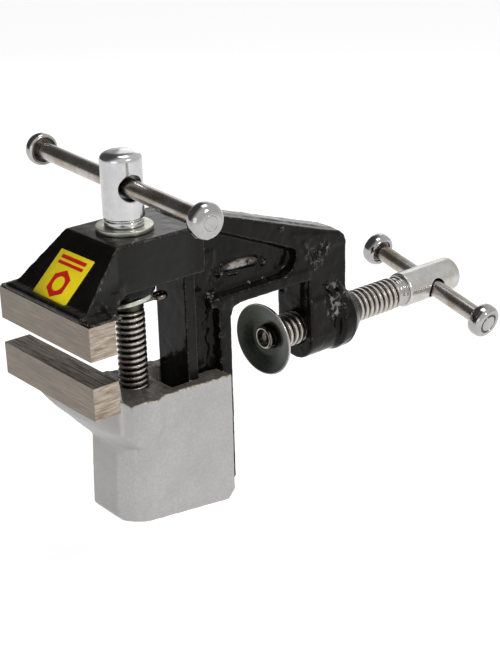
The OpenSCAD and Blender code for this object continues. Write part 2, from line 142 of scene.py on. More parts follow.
def lattice_noise(p, size, seed):
    """Smooth noise from -1 to 1 at points p, with lumps about size mm wide."""
    table = np.random.default_rng(seed).random((32, 32, 32)) * 2 - 1
    q = p / size + 100.5
    i = np.floor(q).astype(int)
    f = q - i
    f = f * f * (3 - 2 * f)
    out = 0
    for d in product((0, 1), repeat=3):
        weight = np.prod([f[:, k] if d[k] else 1 - f[:, k] for k in range(3)], axis=0)
        out = out + weight * table[tuple((i[:, k] + d[k]) % 32 for k in range(3))]
    return out


def surface(f, lo, hi, h, settle=2):
    """Surface nets over the distance function f, with each vertex then moved onto f = 0.

    Returns vertices, quads and normals.
    """
    axes = [np.arange(a - 2 * h, b + 3 * h, h, dtype=np.float32) for a, b in zip(lo, hi)]
    x, y, z = axes[0][:, None, None], axes[1][None, :, None], axes[2][None, None, :]
    n = tuple(len(a) for a in axes)
    value = np.broadcast_to(f(x, y, z), n).astype(np.float32)
    inside = value < 0
    corners = np.zeros(tuple(k - 1 for k in n), np.int8)
    for d in product((0, 1), repeat=3):
        corners += inside[tuple(slice(d[k], n[k] - 1 + d[k]) for k in range(3))]
    cells = np.argwhere((corners > 0) & (corners < 8))
    index = np.full(corners.shape, -1)
    index[tuple(cells.T)] = np.arange(len(cells))
    total, count = np.zeros((len(cells), 3)), np.zeros(len(cells))
    for a in product((0, 1), repeat=3):
        for k in range(3):
            if a[k]:
                continue
            step = np.eye(3, dtype=int)[k]
            va = value[tuple((cells + a).T)]
            vb = value[tuple((cells + a + step).T)]
            cross = (va < 0) != (vb < 0)
            t = np.where(cross, va / np.where(va == vb, 1, va - vb), 0)
            total += cross[:, None] * (np.array(a) + t[:, None] * step)
            count += cross
    v = (cells + total / count[:, None]) * h + [a[0] for a in axes]
    quads = []
    for k in range(3):
        eu, ew = np.eye(3, dtype=int)[(k + 1) % 3], np.eye(3, dtype=int)[(k + 2) % 3]
        first = tuple(slice(0, -1) if j == k else slice(None) for j in range(3))
        second = tuple(slice(1, None) if j == k else slice(None) for j in range(3))
        p = np.argwhere(inside[first] != inside[second])
        q = np.stack([index[tuple((p - o).T)] for o in (eu + ew, ew, 0 * eu, eu)], 1)
        solid = inside[tuple(p.T)]
        quads.append(np.where(solid[:, None], q, q[:, ::-1]))
    e = 0.02
    for turn in range(settle + 1):
        d = f(*v.T)
        g = np.stack([(f(*(v + e * np.eye(3)[k]).T) - d) / e for k in range(3)], 1)
        size = np.maximum(np.sum(g * g, 1), 0.2)
        if turn < settle:
            v = v - (np.clip(d / size, -0.5 * h, 0.5 * h))[:, None] * g
    return v, np.concatenate(quads), g / np.sqrt(size)[:, None]


def piece(name, vertices, faces, material, body, replaces=(), second=None):
    """A mesh object from mm vertices, riding on a CAD body. second is (material, first face that has it)."""
    mesh = bpy.data.meshes.new(name)
    mesh.from_pydata((np.asarray(vertices, float) * 0.001).tolist(), [], [list(map(int, f)) for f in faces])
    mesh.update()
    mesh.polygons.foreach_set("use_smooth", [True] * len(mesh.polygons))
    mesh.materials.append(material)
    if second:
        mesh.materials.append(second[0])
        mesh.polygons.foreach_set("material_index", [int(i >= second[1]) for i in range(len(mesh.polygons))])
    obj = bpy.data.objects.new(name, mesh)
    bpy.context.scene.collection.objects.link(obj)
    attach(obj, body)
    if replaces:
        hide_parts(*replaces)


# --- turned and threaded shapes ---


def eased(profile, r, n=4):
    """A turned profile with each corner rounded by up to r."""
    p = [np.array(a, float) for a in profile]
    out = [p[0]]
    for a, b, c in zip(p, p[1:], p[2:]):
        la, lc = np.linalg.norm(a - b), np.linalg.norm(c - b)
        k = min(r, 0.45 * la, 0.45 * lc)
        s, e = b + (a - b) / la * k, b + (c - b) / lc * k
        for i in range(n + 1):
            t = i / n
            out.append((1 - t) ** 2 * s + 2 * t * (1 - t) * b + t * t * e)
    out.append(p[-1])
    return out


def turned(profile, place, n=96):
    """Vertices and faces of a profile of [radius, height] turned about Z, then put in place."""
    v, f, rings = [], [], []
    for r, z in profile:
        if r < 1e-6:
            rings.append([len(v)])
            v.append((0, 0, z))
        else:
            rings.append(list(range(len(v), len(v) + n)))
            v += [(r * math.cos(2 * math.pi * i / n), r * math.sin(2 * math.pi * i / n), z) for i in range(n)]
    for a, b in zip(rings, rings[1:]):
        for i in range(n):
            j = (i + 1) % n
            quad = [a[i % len(a)], a[j % len(a)], b[j % len(b)], b[i % len(b)]]
            quad = [k for m, k in enumerate(quad) if k not in quad[:m]]
            if len(quad) > 2:
                f.append(quad)
    return [place @ Vector(p) for p in v], f


def helix(d, root, pitch, z0, z1, place, n=72, k=16, flank=0.36, runout=1.0):
    """Vertices and faces of a right-hand thread about Z from z0 to z1, running out to the root at both ends.
    """
    u = np.arange(k) / k
    rise = np.clip((0.5 - np.abs(u - 0.5)) / flank, 0, 1)
    shape = rise * rise * (3 - 2 * rise)
    turns = int(math.ceil((z1 - z0) / pitch)) + 1
    rows = (turns + 1) * k
    v = []
    for i in range(rows + 1):
        for j in range(n):
            z = z0 + pitch * (i / k - 1 + j / n)
            at = min(max(z, z0), z1)
            fade = min(1, (at - z0) / runout, (z1 - at) / runout)
            depth = shape[i % k] * max(fade, 0)
            r = root + (d / 2 - root) * depth
            a = 2 * math.pi * j / n
            v.append((r * math.cos(a), r * math.sin(a), at))
    f = []
    for i in range(rows):
        for j in range(n):
            b, c = (i * n + j + 1, (i + 1) * n + j + 1) if j + 1 < n else ((i + k) * n, (i + k + 1) * n)
            if (i + k + 1) * n + n > len(v) and j + 1 == n:
                continue
            quad = [i * n + j, b, c, (i + 1) * n + j]
            if len({round(v[q][2], 6) for q in quad}) > 1:
                f.append(quad)
    return [place @ Vector(p) for p in v], f


def joined(*parts):
    v, f = [], []
    for pv, pf in parts:
        f += [[i + len(v) for i in face] for face in pf]
        v += list(pv)
    return v, f


# --- materials ---


class Nodes:
    """Short hand for building one node material in object space, with lengths in mm."""

    def __init__(self, name, **sockets):
        self.material = bpy.data.materials.new(name)
        self.material.use_nodes = True
        self.tree = self.material.node_tree
        self.shader = self.tree.nodes["Principled BSDF"]
        for key, value in sockets.items():
            self.shader.inputs[key.replace("_", " ")].default_value = value
        place = self.add("ShaderNodeTexCoord").outputs["Object"]
        self.mm = self.add("ShaderNodeVectorMath", operation="SCALE").outputs[0]
        self.mm.node.inputs["Scale"].default_value = 1000
        self.link(place, self.mm.node.inputs[0])

    def add(self, kind, **settings):
        node = self.tree.nodes.new(kind)
        for key, value in settings.items():
            setattr(node, key, value)
        return node

    def link(self, a, b):
        self.tree.links.new(a, b)

    def put(self, socket, value):
        if isinstance(value, (int, float, tuple)):
            socket.default_value = value
        else:
            self.link(value, socket)

    def stretched(self, x, y, z):
        node = self.add("ShaderNodeVectorMath", operation="MULTIPLY")
        self.link(self.mm, node.inputs[0])
        node.inputs[1].default_value = (x, y, z)
        return node.outputs[0]

    def noise(self, size, detail=3.0, rough=0.55, vector=None):
        node = self.add("ShaderNodeTexNoise")
        self.link(vector or self.mm, node.inputs["Vector"])
        node.inputs["Scale"].default_value = 1 / size
        node.inputs["Detail"].default_value = detail
        node.inputs["Roughness"].default_value = rough
        return node.outputs["Fac"]

    def ramp(self, value, lo, hi, a=0.0, b=1.0):
        node = self.add("ShaderNodeMapRange")
        self.link(value, node.inputs["Value"])
        for key, number in zip(("From Min", "From Max", "To Min", "To Max"), (lo, hi, a, b)):
            node.inputs[key].default_value = number
        return node.outputs["Result"]

    def math(self, operation, a, b=0.0):
        node = self.add("ShaderNodeMath", operation=operation)
        self.put(node.inputs[0], a)
        self.put(node.inputs[1], b)
        return node.outputs[0]

    def mix(self, share, a, b):
        node = self.add("ShaderNodeMix", data_type="RGBA")
        self.put(node.inputs["Factor"], share)
        self.put(node.inputs[6], a)
        self.put(node.inputs[7], b)
        return node.outputs[2]

    def times(self, a, b):
        return self.math("MULTIPLY", a, b)

    def split(self, vector, axis):
        """One component of a vector."""
        node = self.add("ShaderNodeSeparateXYZ")
        self.link(vector, node.inputs[0])
        return node.outputs[axis]

    def height(self, axis):
        """Place along an axis, in mm."""
        return self.split(self.mm, axis)

    def normal(self, axis):
        return self.split(self.add("ShaderNodeNewGeometry").outputs["Normal"], axis)

    def facing(self, axis):
        """How squarely the surface faces along a fixed axis, 0 to 1."""
        return self.math("ABSOLUTE", self.normal(axis))

    def pointy(self):
        return self.add("ShaderNodeNewGeometry").outputs["Pointiness"]

    def distance(self, centre, scale):
        """Distance from centre, with each axis multiplied by scale first."""
        away = self.add("ShaderNodeVectorMath", operation="SUBTRACT")
        self.link(self.mm, away.inputs[0])
        away.inputs[1].default_value = centre
        scaled = self.add("ShaderNodeVectorMath", operation="MULTIPLY")
        self.link(away.outputs[0], scaled.inputs[0])
        scaled.inputs[1].default_value = scale
        size = self.add("ShaderNodeVectorMath", operation="LENGTH")
        self.link(scaled.outputs[0], size.inputs[0])
        return size.outputs["Value"]

    def spot(self, centre, radii):
        """1 at a place, falling to 0 at an ellipsoid round it. A radius of 0 leaves that axis free."""
        return self.ramp(self.distance(centre, tuple(1 / r if r else 0.0 for r in radii)), 1, 0.55)

    def off_axis(self, axis, centre):
        """Distance in mm from the line along an axis through centre."""
        return self.distance(centre, tuple(float(k != axis) for k in range(3)))

    def colour(self, value):
        self.put(self.shader.inputs["Base Color"], value)

    def set(self, socket, value):
        self.put(self.shader.inputs[socket], value)

    def bump(self, *layers):
        """Layers of (height, depth in mm), lowest first."""
        last = None
        for value, depth in layers:
            node = self.add("ShaderNodeBump")
            node.inputs["Strength"].default_value = 1.0
            node.inputs["Distance"].default_value = depth * 0.001
            self.link(value, node.inputs["Height"])
            if last:
                self.link(last, node.inputs["Normal"])
            last = node.outputs[0]
        self.link(last, self.shader.inputs["Normal"])


def grey(v, warm=0.0):
    return (v * (1 + warm), v, v * (1 - warm), 1.0)


def make_enamel():
    m = Nodes("black_enamel", Metallic=0.0, IOR=1.22)
    wide = m.noise(9, 2)
    lumps = m.noise(2.2, 4, 0.6)
    fine = m.noise(0.8, 3, 0.6)
    base = m.mix(m.ramp(wide, 0.35, 0.7), grey(0.0022, 0.2), grey(0.0050, 0.15))
    # duller paint on the sides of the head; their lighter base colour is a painted sheen
    dull_and_sheen = m.times(m.ramp(m.height(1), -14, -24), m.facing(0))
    base = m.mix(m.times(dull_and_sheen, 0.9), base, grey(0.0145, 0.03))
    dust = m.times(m.ramp(m.facing(2), 0.86, 0.97), m.ramp(m.noise(1.3, 5, 0.7), 0.40, 0.66))
    base = m.mix(m.times(dust, 0.3), base, grey(0.055, 0.05))
    # pale patches on the foundry marks: the long ridge, the boss and the end of the arm; partly thin worn
    # paint, partly a painted highlight on their sides
    drip = m.times(m.spot((0, 6.4, 32.3), (0, 7.6, 1.5)), m.ramp(m.noise(2.0, 4, 0.6), 0.36, 0.56))
    scab = m.times(m.spot((0, 46.6, 9.3), (0, 5.4, 9.0)), m.ramp(m.noise(3.0, 2, 0.5), 0.55, 0.62, 0, 0.6))
    nicks = m.times(m.spot((0, 38.5, 29.5), (0, 7.0, 6.5)), m.ramp(m.noise(1.7, 3, 0.6), 0.57, 0.63))
    pale_sheen_and_wear = m.math("MAXIMUM", drip, m.math("MAXIMUM", scab, m.times(nicks, 0.22)))
    base = m.mix(m.times(pale_sheen_and_wear, m.ramp(m.facing(0), 0.4, 0.7)), base, grey(0.27, 0.10))
    worn = m.times(m.ramp(m.pointy(), 0.525, 0.57), m.ramp(m.noise(1.0, 5, 0.7), 0.49, 0.58))
    m.colour(m.mix(worn, base, (0.19, 0.165, 0.13, 1)))
    rough = m.ramp(m.noise(5, 3, 0.6), 0.3, 0.75, 0.10, 0.24)
    rough = m.math("ADD", rough, m.times(dull_and_sheen, 0.25))
    m.set("Roughness", m.math("ADD", rough, m.times(worn, 0.3)))
    m.bump((wide, 0.32), (lumps, 0.035), (fine, 0.008))
    return m.material


def make_silver():
    m = Nodes("silver_paint", Metallic=0.35)
    grain = m.noise(0.75, 2, 0.6)
    cast = m.noise(1.9, 4, 0.6)
    wide = m.noise(14, 3)
    base = m.mix(m.ramp(wide, 0.35, 0.65), grey(0.345, 0.025), grey(0.385, 0.02))
    base = m.mix(m.ramp(grain, 0.32, 0.60, 0.45, 0), base, grey(0.28, 0.03))
    base = m.mix(m.ramp(grain, 0.54, 0.72, 0, 0.14), base, grey(0.54, 0.02))
    spots = m.ramp(m.noise(0.9, 2, 0.5), 0.72, 0.78)
    base = m.mix(m.times(spots, 0.6), base, grey(0.14, 0.08))
    # oily dirt on the top, painted shade in the creases and bare metal along the rim
    dirt = m.times(m.ramp(m.normal(2), 0.55, 0.85), m.ramp(m.height(2), SHOE_Z1 - 30, SHOE_Z1 - 20))
    soil = m.mix(m.ramp(cast, 0.35, 0.65), grey(0.050, 0.14), grey(0.115, 0.12))
    base = m.mix(m.times(dirt, 0.93), base, soil)
    crease_shade = m.times(m.ramp(m.pointy(), 0.485, 0.44), m.ramp(m.height(2), -6, -9))
    base = m.mix(m.times(crease_shade, 0.7), base, grey(0.11, 0.08))
    edge = m.times(m.ramp(m.pointy(), 0.515, 0.56), m.ramp(m.height(2), -6, -4))
    edge = m.times(edge, m.ramp(m.height(1), PLATE_Y1 + 2, PLATE_Y1 + 5))
    rim = m.mix(m.ramp(m.noise(1.2, 3), 0.45, 0.6), (0.50, 0.43, 0.32, 1), (0.17, 0.14, 0.10, 1))
    m.colour(m.mix(edge, base, rim))
    m.set("Roughness", m.ramp(grain, 0.3, 0.7, 0.42, 0.60))
    m.bump((cast, 0.10), (grain, 0.06))
    return m.material


def make_plate():
    m = Nodes("ground_steel", Metallic=1.0)
    along = m.noise(0.45, 5, 0.75, m.stretched(0.04, 1, 1))
    end = m.noise(0.8, 4, 0.75, m.stretched(1, 0.12, 1))
    ends, level = m.ramp(m.facing(0), 0.5, 0.9), m.ramp(m.facing(2), 0.5, 0.9)
    stain = m.ramp(m.noise(6, 5, 0.7, m.stretched(0.22, 1, 1)), 0.40, 0.66)
    side = m.mix(m.ramp(along, 0.28, 0.72), grey(0.105, 0.19), grey(0.31, 0.15))
    side = m.mix(m.times(stain, 0.4), side, grey(0.10, 0.2))
    streak = m.ramp(m.noise(0.9, 5, 0.75, m.stretched(0.07, 1, 1)), 0.42, 0.60)
    top = m.mix(streak, grey(0.27, 0.17), grey(0.050, 0.3))
    side = m.mix(level, side, top)
    cut = m.mix(m.ramp(end, 0.34, 0.62), grey(0.15, 0.27), grey(0.40, 0.17))
    m.colour(m.mix(ends, side, cut))
    m.set("Roughness", m.ramp(along, 0.3, 0.7, 0.36, 0.54))
    m.bump((m.mix(ends, along, end), 0.05))
    return m.material


def make_chrome(name, value, rough, warm=0.0, grime=None, bore=None, tint=None, pitted=0.008, along=1.0):
    """Polished steel.

    grime is (axis, centre, dark radius, bright radius), and bore is (axis, centre, middle of the cross hole).
    """
    m = Nodes(name, Metallic=1.0)
    grain = m.stretched(along, 1, 1)
    wide = m.noise(3.0, 4, 0.6, grain)
    fine = m.noise(0.6, 3, 0.6, grain)
    base = m.mix(m.ramp(wide, 0.3, 0.7), grey(value * 0.84, warm), grey(value, warm))
    base = m.mix(m.ramp(fine, 0.66, 0.78, 0, 0.4), base, grey(value * 0.4, 0.08))
    if tint:
        base = m.mix(m.ramp(m.noise(7, 3), 0.44, 0.64, 0, 0.7), base, tint)
    if grime:
        axis, centre, low, high = grime
        deep = m.ramp(m.off_axis(axis, centre), low, high, 1, 0)
        deep = m.times(deep, m.ramp(m.noise(1.6, 3), 0.25, 0.6, 0.75, 1.0))
        base = m.mix(deep, base, grey(0.022, 0.28))
    if bore:
        axis, centre, middle = bore
        # the wall of the cross hole is painted near black, a painted shade inside the hole
        inner = m.ramp(m.off_axis(axis, centre), 5.9, 6.35, 1, 0)
        level = m.math("ABSOLUTE", m.math("SUBTRACT", m.height(axis), middle))
        base = m.mix(m.times(inner, m.ramp(level, 4.0, 4.6, 1, 0)), base, grey(0.015, 0.2))
    m.colour(base)
    m.set("Roughness", m.ramp(m.noise(1.4, 4, 0.6, grain), 0.3, 0.75, *rough))
    m.bump((wide, 0.015), (fine, pitted))
    return m.material


def make_zinc():
    m = Nodes("zinc_washer", Metallic=1.0)
    cloud = m.noise(2.2, 4, 0.6)
    base = m.mix(m.ramp(cloud, 0.3, 0.7), (0.60, 0.58, 0.48, 1), (0.48, 0.52, 0.47, 1))
    m.colour(m.mix(m.ramp(m.noise(1.0, 3), 0.60, 0.72, 0, 0.6), base, (0.26, 0.23, 0.14, 1)))
    m.set("Roughness", m.ramp(cloud, 0.3, 0.7, 0.24, 0.42))
    m.bump((m.noise(0.6, 3), 0.03))
    return m.material


def make_pad():
    m = Nodes("dark_steel", Metallic=1.0)
    # the dish's rim painted light grey, a painted highlight along its edge
    rim = m.ramp(m.off_axis(1, (0, 0, -PAD_DROP)), 12.45, 12.75)
    base = m.mix(m.ramp(m.noise(6, 2), 0.35, 0.7), (0.012, 0.014, 0.010, 1), (0.027, 0.031, 0.022, 1))
    m.colour(m.mix(rim, base, grey(0.42, 0.05)))
    m.set("Roughness", m.ramp(m.noise(1.5, 4), 0.3, 0.7, 0.20, 0.30))
    m.set("Coat Weight", 0.35)
    m.set("Coat Roughness", 0.25)
    m.bump((m.noise(0.9, 3), 0.006))
    return m.material


def make_print(name, a, b):
    m = Nodes(name, Metallic=0.0)
    m.colour(m.mix(m.ramp(m.noise(2.5, 3), 0.35, 0.7), a, b))
    m.set("Roughness", m.ramp(m.noise(1.5, 3), 0.3, 0.7, 0.28, 0.42))
    m.bump((m.noise(3, 2), 0.03))
    return m.material


ENAMEL = make_enamel()
SILVER = make_silver()
PLATE = make_plate()
BAR1_Z, BAR2_Y = FACE_Z + 42.3, 103.4
CHROME = make_chrome("bright_chrome", 0.42, (0.09, 0.16), 0.02, pitted=0.003)
HEAD1 = make_chrome("vise_head_chrome", 0.57, (0.12, 0.22), bore=(2, (0, SCREW_Y, 0), BAR1_Z))
HEAD2 = make_chrome("clamp_head_chrome", 0.56, (0.22, 0.38), 0.01, bore=(1, (0, 0, 0), BAR2_Y),
    tint=(0.44, 0.40, 0.33, 1), pitted=0.03)
THREAD1 = make_chrome("vise_thread", 0.42, (0.22, 0.36), 0.08, grime=(2, (0, SCREW_Y, 0), 4.25, 4.80))
THREAD2 = make_chrome("clamp_thread", 0.48, (0.22, 0.36), 0.08, grime=(1, (0, 0, 0), 5.0, 5.85))
ROD = make_chrome("rod_chrome", 0.46, (0.24, 0.32), 0.05,
    tint=(0.27, 0.215, 0.155, 1), pitted=0.002, along=0.12)
PIN = make_chrome("pin_steel", 0.14, (0.18, 0.30), 0.15)
# dark oily steel, also used as painted shade in the knobs' grooves and on the jaw screw below the washer
OIL_AND_SHADE = make_chrome("oily_steel_and_shade", 0.10, (0.25, 0.40), 0.15)
ZINC = make_zinc()
PAD = make_pad()
YELLOW = make_print("label_yellow", (0.70, 0.56, 0.004, 1), (0.76, 0.62, 0.006, 1))
RED = make_print("label_red", (0.50, 0.006, 0.006, 1), (0.56, 0.010, 0.008, 1))

# --- black casting ---

COL_HALF = 8.1
WEB_HALF = 4.0
GUIDE_Y0, GUIDE_Y1, BENCH_Y0 = -19.0, -14.7, -5.1
HEAD_LOW = FACE_Z + 12.4
HEAD_HALF, HEAD_BACK = 14.1, -14.8
SLOPE_Y0 = SCREW_Y - 12.9
SLOPE_Z1 = PLATE_TOP + 1.6
SLOPE_Y1 = SLOPE_Y0 - (HEAD_TOP - SLOPE_Z1) * 1.045
SLOPE_HALF = 20.2
BOSS_Z0 = FACE_Z + 7.5
THROAT_UP = 19.8
LUG_Y0, LUG_Y1 = 35.2, BOSS_Y1 - 9
ARM_Y0, ARM_Z1 = -6.3, 33.0
LUG_Z, LUG_HALF = -2.8, 8.9


def mirrored(points):
    """Right half of an outline, with its mirror image added."""
    return points + [(-u, v) for u, v in reversed(points)]


def head(x, y, z):
    side = prism(y, z, x, [(GUIDE_Y0 + 1.5, HEAD_LOW), (HEAD_BACK, HEAD_LOW), (HEAD_BACK, HEAD_TOP),
        (SLOPE_Y0, HEAD_TOP), (SLOPE_Y1, SLOPE_Z1), (PLATE_Y0 + 0.4, SLOPE_Z1),
        (PLATE_Y0 + 0.4, SLOPE_Z1 - 1), (SLOPE_Y1 + 3, HEAD_LOW)], -JAW_HALF, JAW_HALF, 0.5)
    plan = prism(x, y, z, mirrored([(HEAD_HALF, HEAD_BACK), (HEAD_HALF, SLOPE_Y0),
        (SLOPE_HALF, SLOPE_Y1), (SLOPE_HALF, PLATE_Y0)]), SLOPE_Z1 - 8, HEAD_TOP + 4, 0.5)
    block = smooth_max(side, plan, 0.9)
    corner, lip_half = (JAW_HALF, PLATE_TOP + 0.4), SLOPE_HALF + 1.2
    lip = prism(x, z, y, mirrored([(JAW_HALF, PLATE_TOP), corner, (lip_half, SLOPE_Z1)]),
        PLATE_Y0 + 0.4, PLATE_Y1 + 2, 0.35)
    wall = prism(x, y, z, mirrored([(JAW_HALF, PLATE_Y1), (12, PLATE_Y1 + 7.5)]),
        FACE_Z + 0.8, SLOPE_Z1 - 1, 0.5)
    fan = prism(x, y, z, mirrored([(JAW_HALF, PLATE_Y1), (HEAD_HALF, PLATE_Y1 + 10)]),
        HEAD_LOW - 0.8, HEAD_TOP, 0.5)
    front = prism(x, z, y, mirrored([(JAW_HALF, HEAD_LOW - 2.4), corner, (lip_half, SLOPE_Z1 + 0.4),
        (SLOPE_HALF - 2.5, SLOPE_Z1 + 3)]), PLATE_Y1 - 1, PLATE_Y1 + 11, 0.4)
    flare = smooth_max(fan, front, 0.8)
    out = smooth_min(block, flare, 3.2)
    out = smooth_min(out, smooth_min(lip, wall, 0.8), 2.2)
    return smooth_min(out, rod(x, y - SCREW_Y, z, 17.2, BOSS_Z0, HEAD_LOW + 3, 0.8), 1.6)


def column(x, y, z):
    guide = prism(y, z, x, [(GUIDE_Y0, COLUMN_Z0 + 1.5), (GUIDE_Y0 + 1.5, COLUMN_Z0), (GUIDE_Y1, COLUMN_Z0),
        (GUIDE_Y1, HEAD_LOW + 2), (GUIDE_Y0, HEAD_LOW + 2)], -COL_HALF, COL_HALF, 0.6)
    web = prism(y, z, x, [(GUIDE_Y1 - 1, COLUMN_Z0), (BENCH_Y0 + 1, COLUMN_Z0), (BENCH_Y0 + 1, HEAD_LOW + 2),
        (GUIDE_Y1 - 1, HEAD_LOW + 2)], -WEB_HALF, WEB_HALF, 0.5)
    bench = prism(y, z, x, [(BENCH_Y0, COLUMN_Z0), (-1.5, COLUMN_Z0), (0, COLUMN_Z0 + 1.5),
        (0, THROAT_UP + 4), (BENCH_Y0, THROAT_UP + 4)], -COL_HALF, COL_HALF, 0.9)
    return smooth_min(smooth_min(guide, web, 1.6), bench, 2.2)


def arm(x, y, z):
    crown = [(-16, HEAD_TOP), (ARM_Y0, HEAD_TOP)]
    outer = [(LUG_Y1 - 3.2, ARM_Z1 + 1.3), (LUG_Y1 - 1.2, ARM_Z1 - 0.4), (LUG_Y1, ARM_Z1 - 3.4)]
    web = prism(y, z, x, crown + outer + [(LUG_Y1, 8), (LUG_Y0, 8), (LUG_Y0, THROAT_UP), (0, THROAT_UP),
        (-8, THROAT_UP), (-16, THROAT_UP + 10)], -WEB_HALF, WEB_HALF, 0.6)
    top = prism(y, z, x, crown + outer + [(LUG_Y0 - 4, ARM_Z1 - 1.4), (ARM_Y0, HEAD_TOP - 5.5),
        (-16, HEAD_TOP - 5.5)], -COL_HALF, COL_HALF, 0.8)
    low = prism(y, z, x, [(-9, THROAT_UP + 4), (-8, THROAT_UP + 0.6), (0, THROAT_UP), (LUG_Y0, THROAT_UP),
        (LUG_Y0, THROAT_UP + 4.1)], -COL_HALF, COL_HALF, 0.8)
    inner = [(LUG_Y0 - 11, THROAT_UP + 4.1), (LUG_Y0 - 7.6, THROAT_UP + 6.4), (LUG_Y0 - 6, THROAT_UP + 9.4),
        (LUG_Y0 - 6.2, THROAT_UP + 12.4), (LUG_Y0 - 9, ARM_Z1 + 5.6)]
    block = prism(y, z, x, inner + outer + [(LUG_Y1, 2), (LUG_Y0, 2), (LUG_Y0, THROAT_UP),
        (LUG_Y0 - 12, THROAT_UP + 1)], -COL_HALF, COL_HALF, 0.8)
    out = smooth_min(web, smooth_min(top, low, 1.5), 2.4)
    out = smooth_min(out, block, 1.6)
    eye = prism(y, z, x, [(LUG_Y0, LUG_Z), (LUG_Y1, LUG_Z), (LUG_Y1, 12), (LUG_Y0, 12)],
        -LUG_HALF, LUG_HALF, 0.8)
    eye = smooth_min(eye, rod(x, z - LUG_Z, y, 2 * LUG_HALF, LUG_Y0, LUG_Y1, 0.8), 0.8)
    boss = flat(np.hypot(x, z), y, [(0, LUG_Y1 - 4.6), (10.9, LUG_Y1 - 4.6), (12.1, LUG_Y1 - 3.2),
        (12.1, LUG_Y1 + 1.6), (10.5, LUG_Y1 + 4.2), (8.4, BOSS_Y1 - 2.4), (7.2, BOSS_Y1), (0, BOSS_Y1)], 1.0)
    out = smooth_min(out, eye, 1.6)
    return smooth_min(out, boss, 1.4)


def throat_corner(x, y, z):
    half = COL_HALF - 0.1
    return prism(y, z, x, [(-1, THROAT_UP + 1), (3.2, THROAT_UP + 1), (3.2, THROAT_UP),
        (0.9, THROAT_UP - 0.9), (0, THROAT_UP - 3.2), (-1, THROAT_UP - 3.2)], -half, half, 0.4)


def blob(x, y, z, a, b, r):
    """Distance to a thick line from a to b."""
    ax, ay, az = a
    ex, ey, ez = (q - p for p, q in zip(a, b))
    t = np.clip(((x - ax) * ex + (y - ay) * ey + (z - az) * ez) / (ex * ex + ey * ey + ez * ez), 0, 1)
    return np.sqrt((x - ax - ex * t) ** 2 + (y - ay - ey * t) ** 2 + (z - az - ez * t) ** 2) - r


# raised foundry scars: two ends and a thickness, drawn on the right side and mirrored to the left
SCARS = [
    ((3.2, 0.0, 32.2), (3.4, 13.6, 31.5), 1.9),
    ((3.6, 17.0, 30.0), (3.7, 17.5, 29.8), 1.3),
    ((3.6, -3.0, 31.2), (3.6, -2.0, 30.8), 1.7),
    ((3.8, 2.2, 29.6), (3.8, 5.4, 29.2), 0.7),
    ((3.8, -4.8, 26.5), (3.8, -3.9, 24.9), 1.0),
    ((8.2, -9.8, 26.2), (8.2, -8.8, 25.4), 1.0),
    ((8.0, 32.2, 34.0), (8.1, 35.2, 27.8), 0.95),
    ((8.0, 35.8, 26.0), (8.1, 37.0, 24.2), 1.1),
    ((8.0, 43.2, 31.0), (8.0, 41.6, 28.4), 1.2),
    ((8.0, 39.4, 29.4), (8.0, 38.0, 26.4), 1.1),
    ((8.0, 40.6, 32.0), (8.0, 40.0, 31.0), 0.9),
    ((8.1, 22.0, 41.6), (8.1, 22.5, 41.5), 0.9),
    ((8.2, 43.4, 15.6), (8.4, 44.6, 14.4), 1.5),
    ((8.6, 46.0, 12.2), (8.8, 47.6, 10.6), 1.6),
    ((8.8, 45.0, 7.6), (9.0, 47.4, 4.6), 1.7),
    ((8.6, 48.6, 14.6), (9.0, 50.0, 12.4), 1.3),
    ((8.8, 43.6, 10.4), (8.8, 43.8, 9.4), 1.1),
    ((9.4, 49.6, 7.4), (9.6, 50.2, 5.4), 1.2),
]


def black_casting(x, y, z):
    out = smooth_min(head(x, y, z), column(x, y, z), 1.2)
    out = smooth_min(out, arm(x, y, z), 1.6)
    out = smooth_min(out, throat_corner(x, y, z), 0.8)
    across = np.abs(x)
    for a, b, r in SCARS:
        out = smooth_min(out, blob(across, y, z, a, b, r), 0.5)
    out = smooth_max(out, -rod(x, y - SCREW_Y, z, 9.66, BOSS_Z0 - 5, HEAD_TOP + 5), 0.3)
    return smooth_max(out, -rod(x, z, y, 12.16, LUG_Y0 - 5, BOSS_Y1 + 5), 0.5)


def near(v, centre, radius):
    """1 at a place, falling to 0 at radius."""
    d = np.linalg.norm((v - np.array(centre)) / np.array(radius), axis=1)
    return np.clip(1 - d, 0, 1) ** 0.5


def roughened(v, n, amount):
    coarse = lattice_noise(v, 6.0, 3)
    middle = 2 * np.maximum(lattice_noise(v, 2.3, 5), 0) ** 0.7 - 0.5
    small = lattice_noise(v, 1.2, 7)
    return v + n * (amount * (0.45 * coarse + 0.4 * middle + 0.3 * small - 0.1))[:, None]


lo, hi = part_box("fixed_jaw_body")
v, quads, n = surface(black_casting, np.array(lo) * 1000, np.array(hi) * 1000, CASTING_CELL, settle=1)
amount = np.full(len(v), 0.14)
pocket = (v[:, 1] > GUIDE_Y1) & (v[:, 1] < BENCH_Y0 + 1.5) & (v[:, 2] < HEAD_LOW)
amount[pocket] = 0.34
one_side = np.abs(v) * [1, 0, 0] + v * [0, 1, 1]
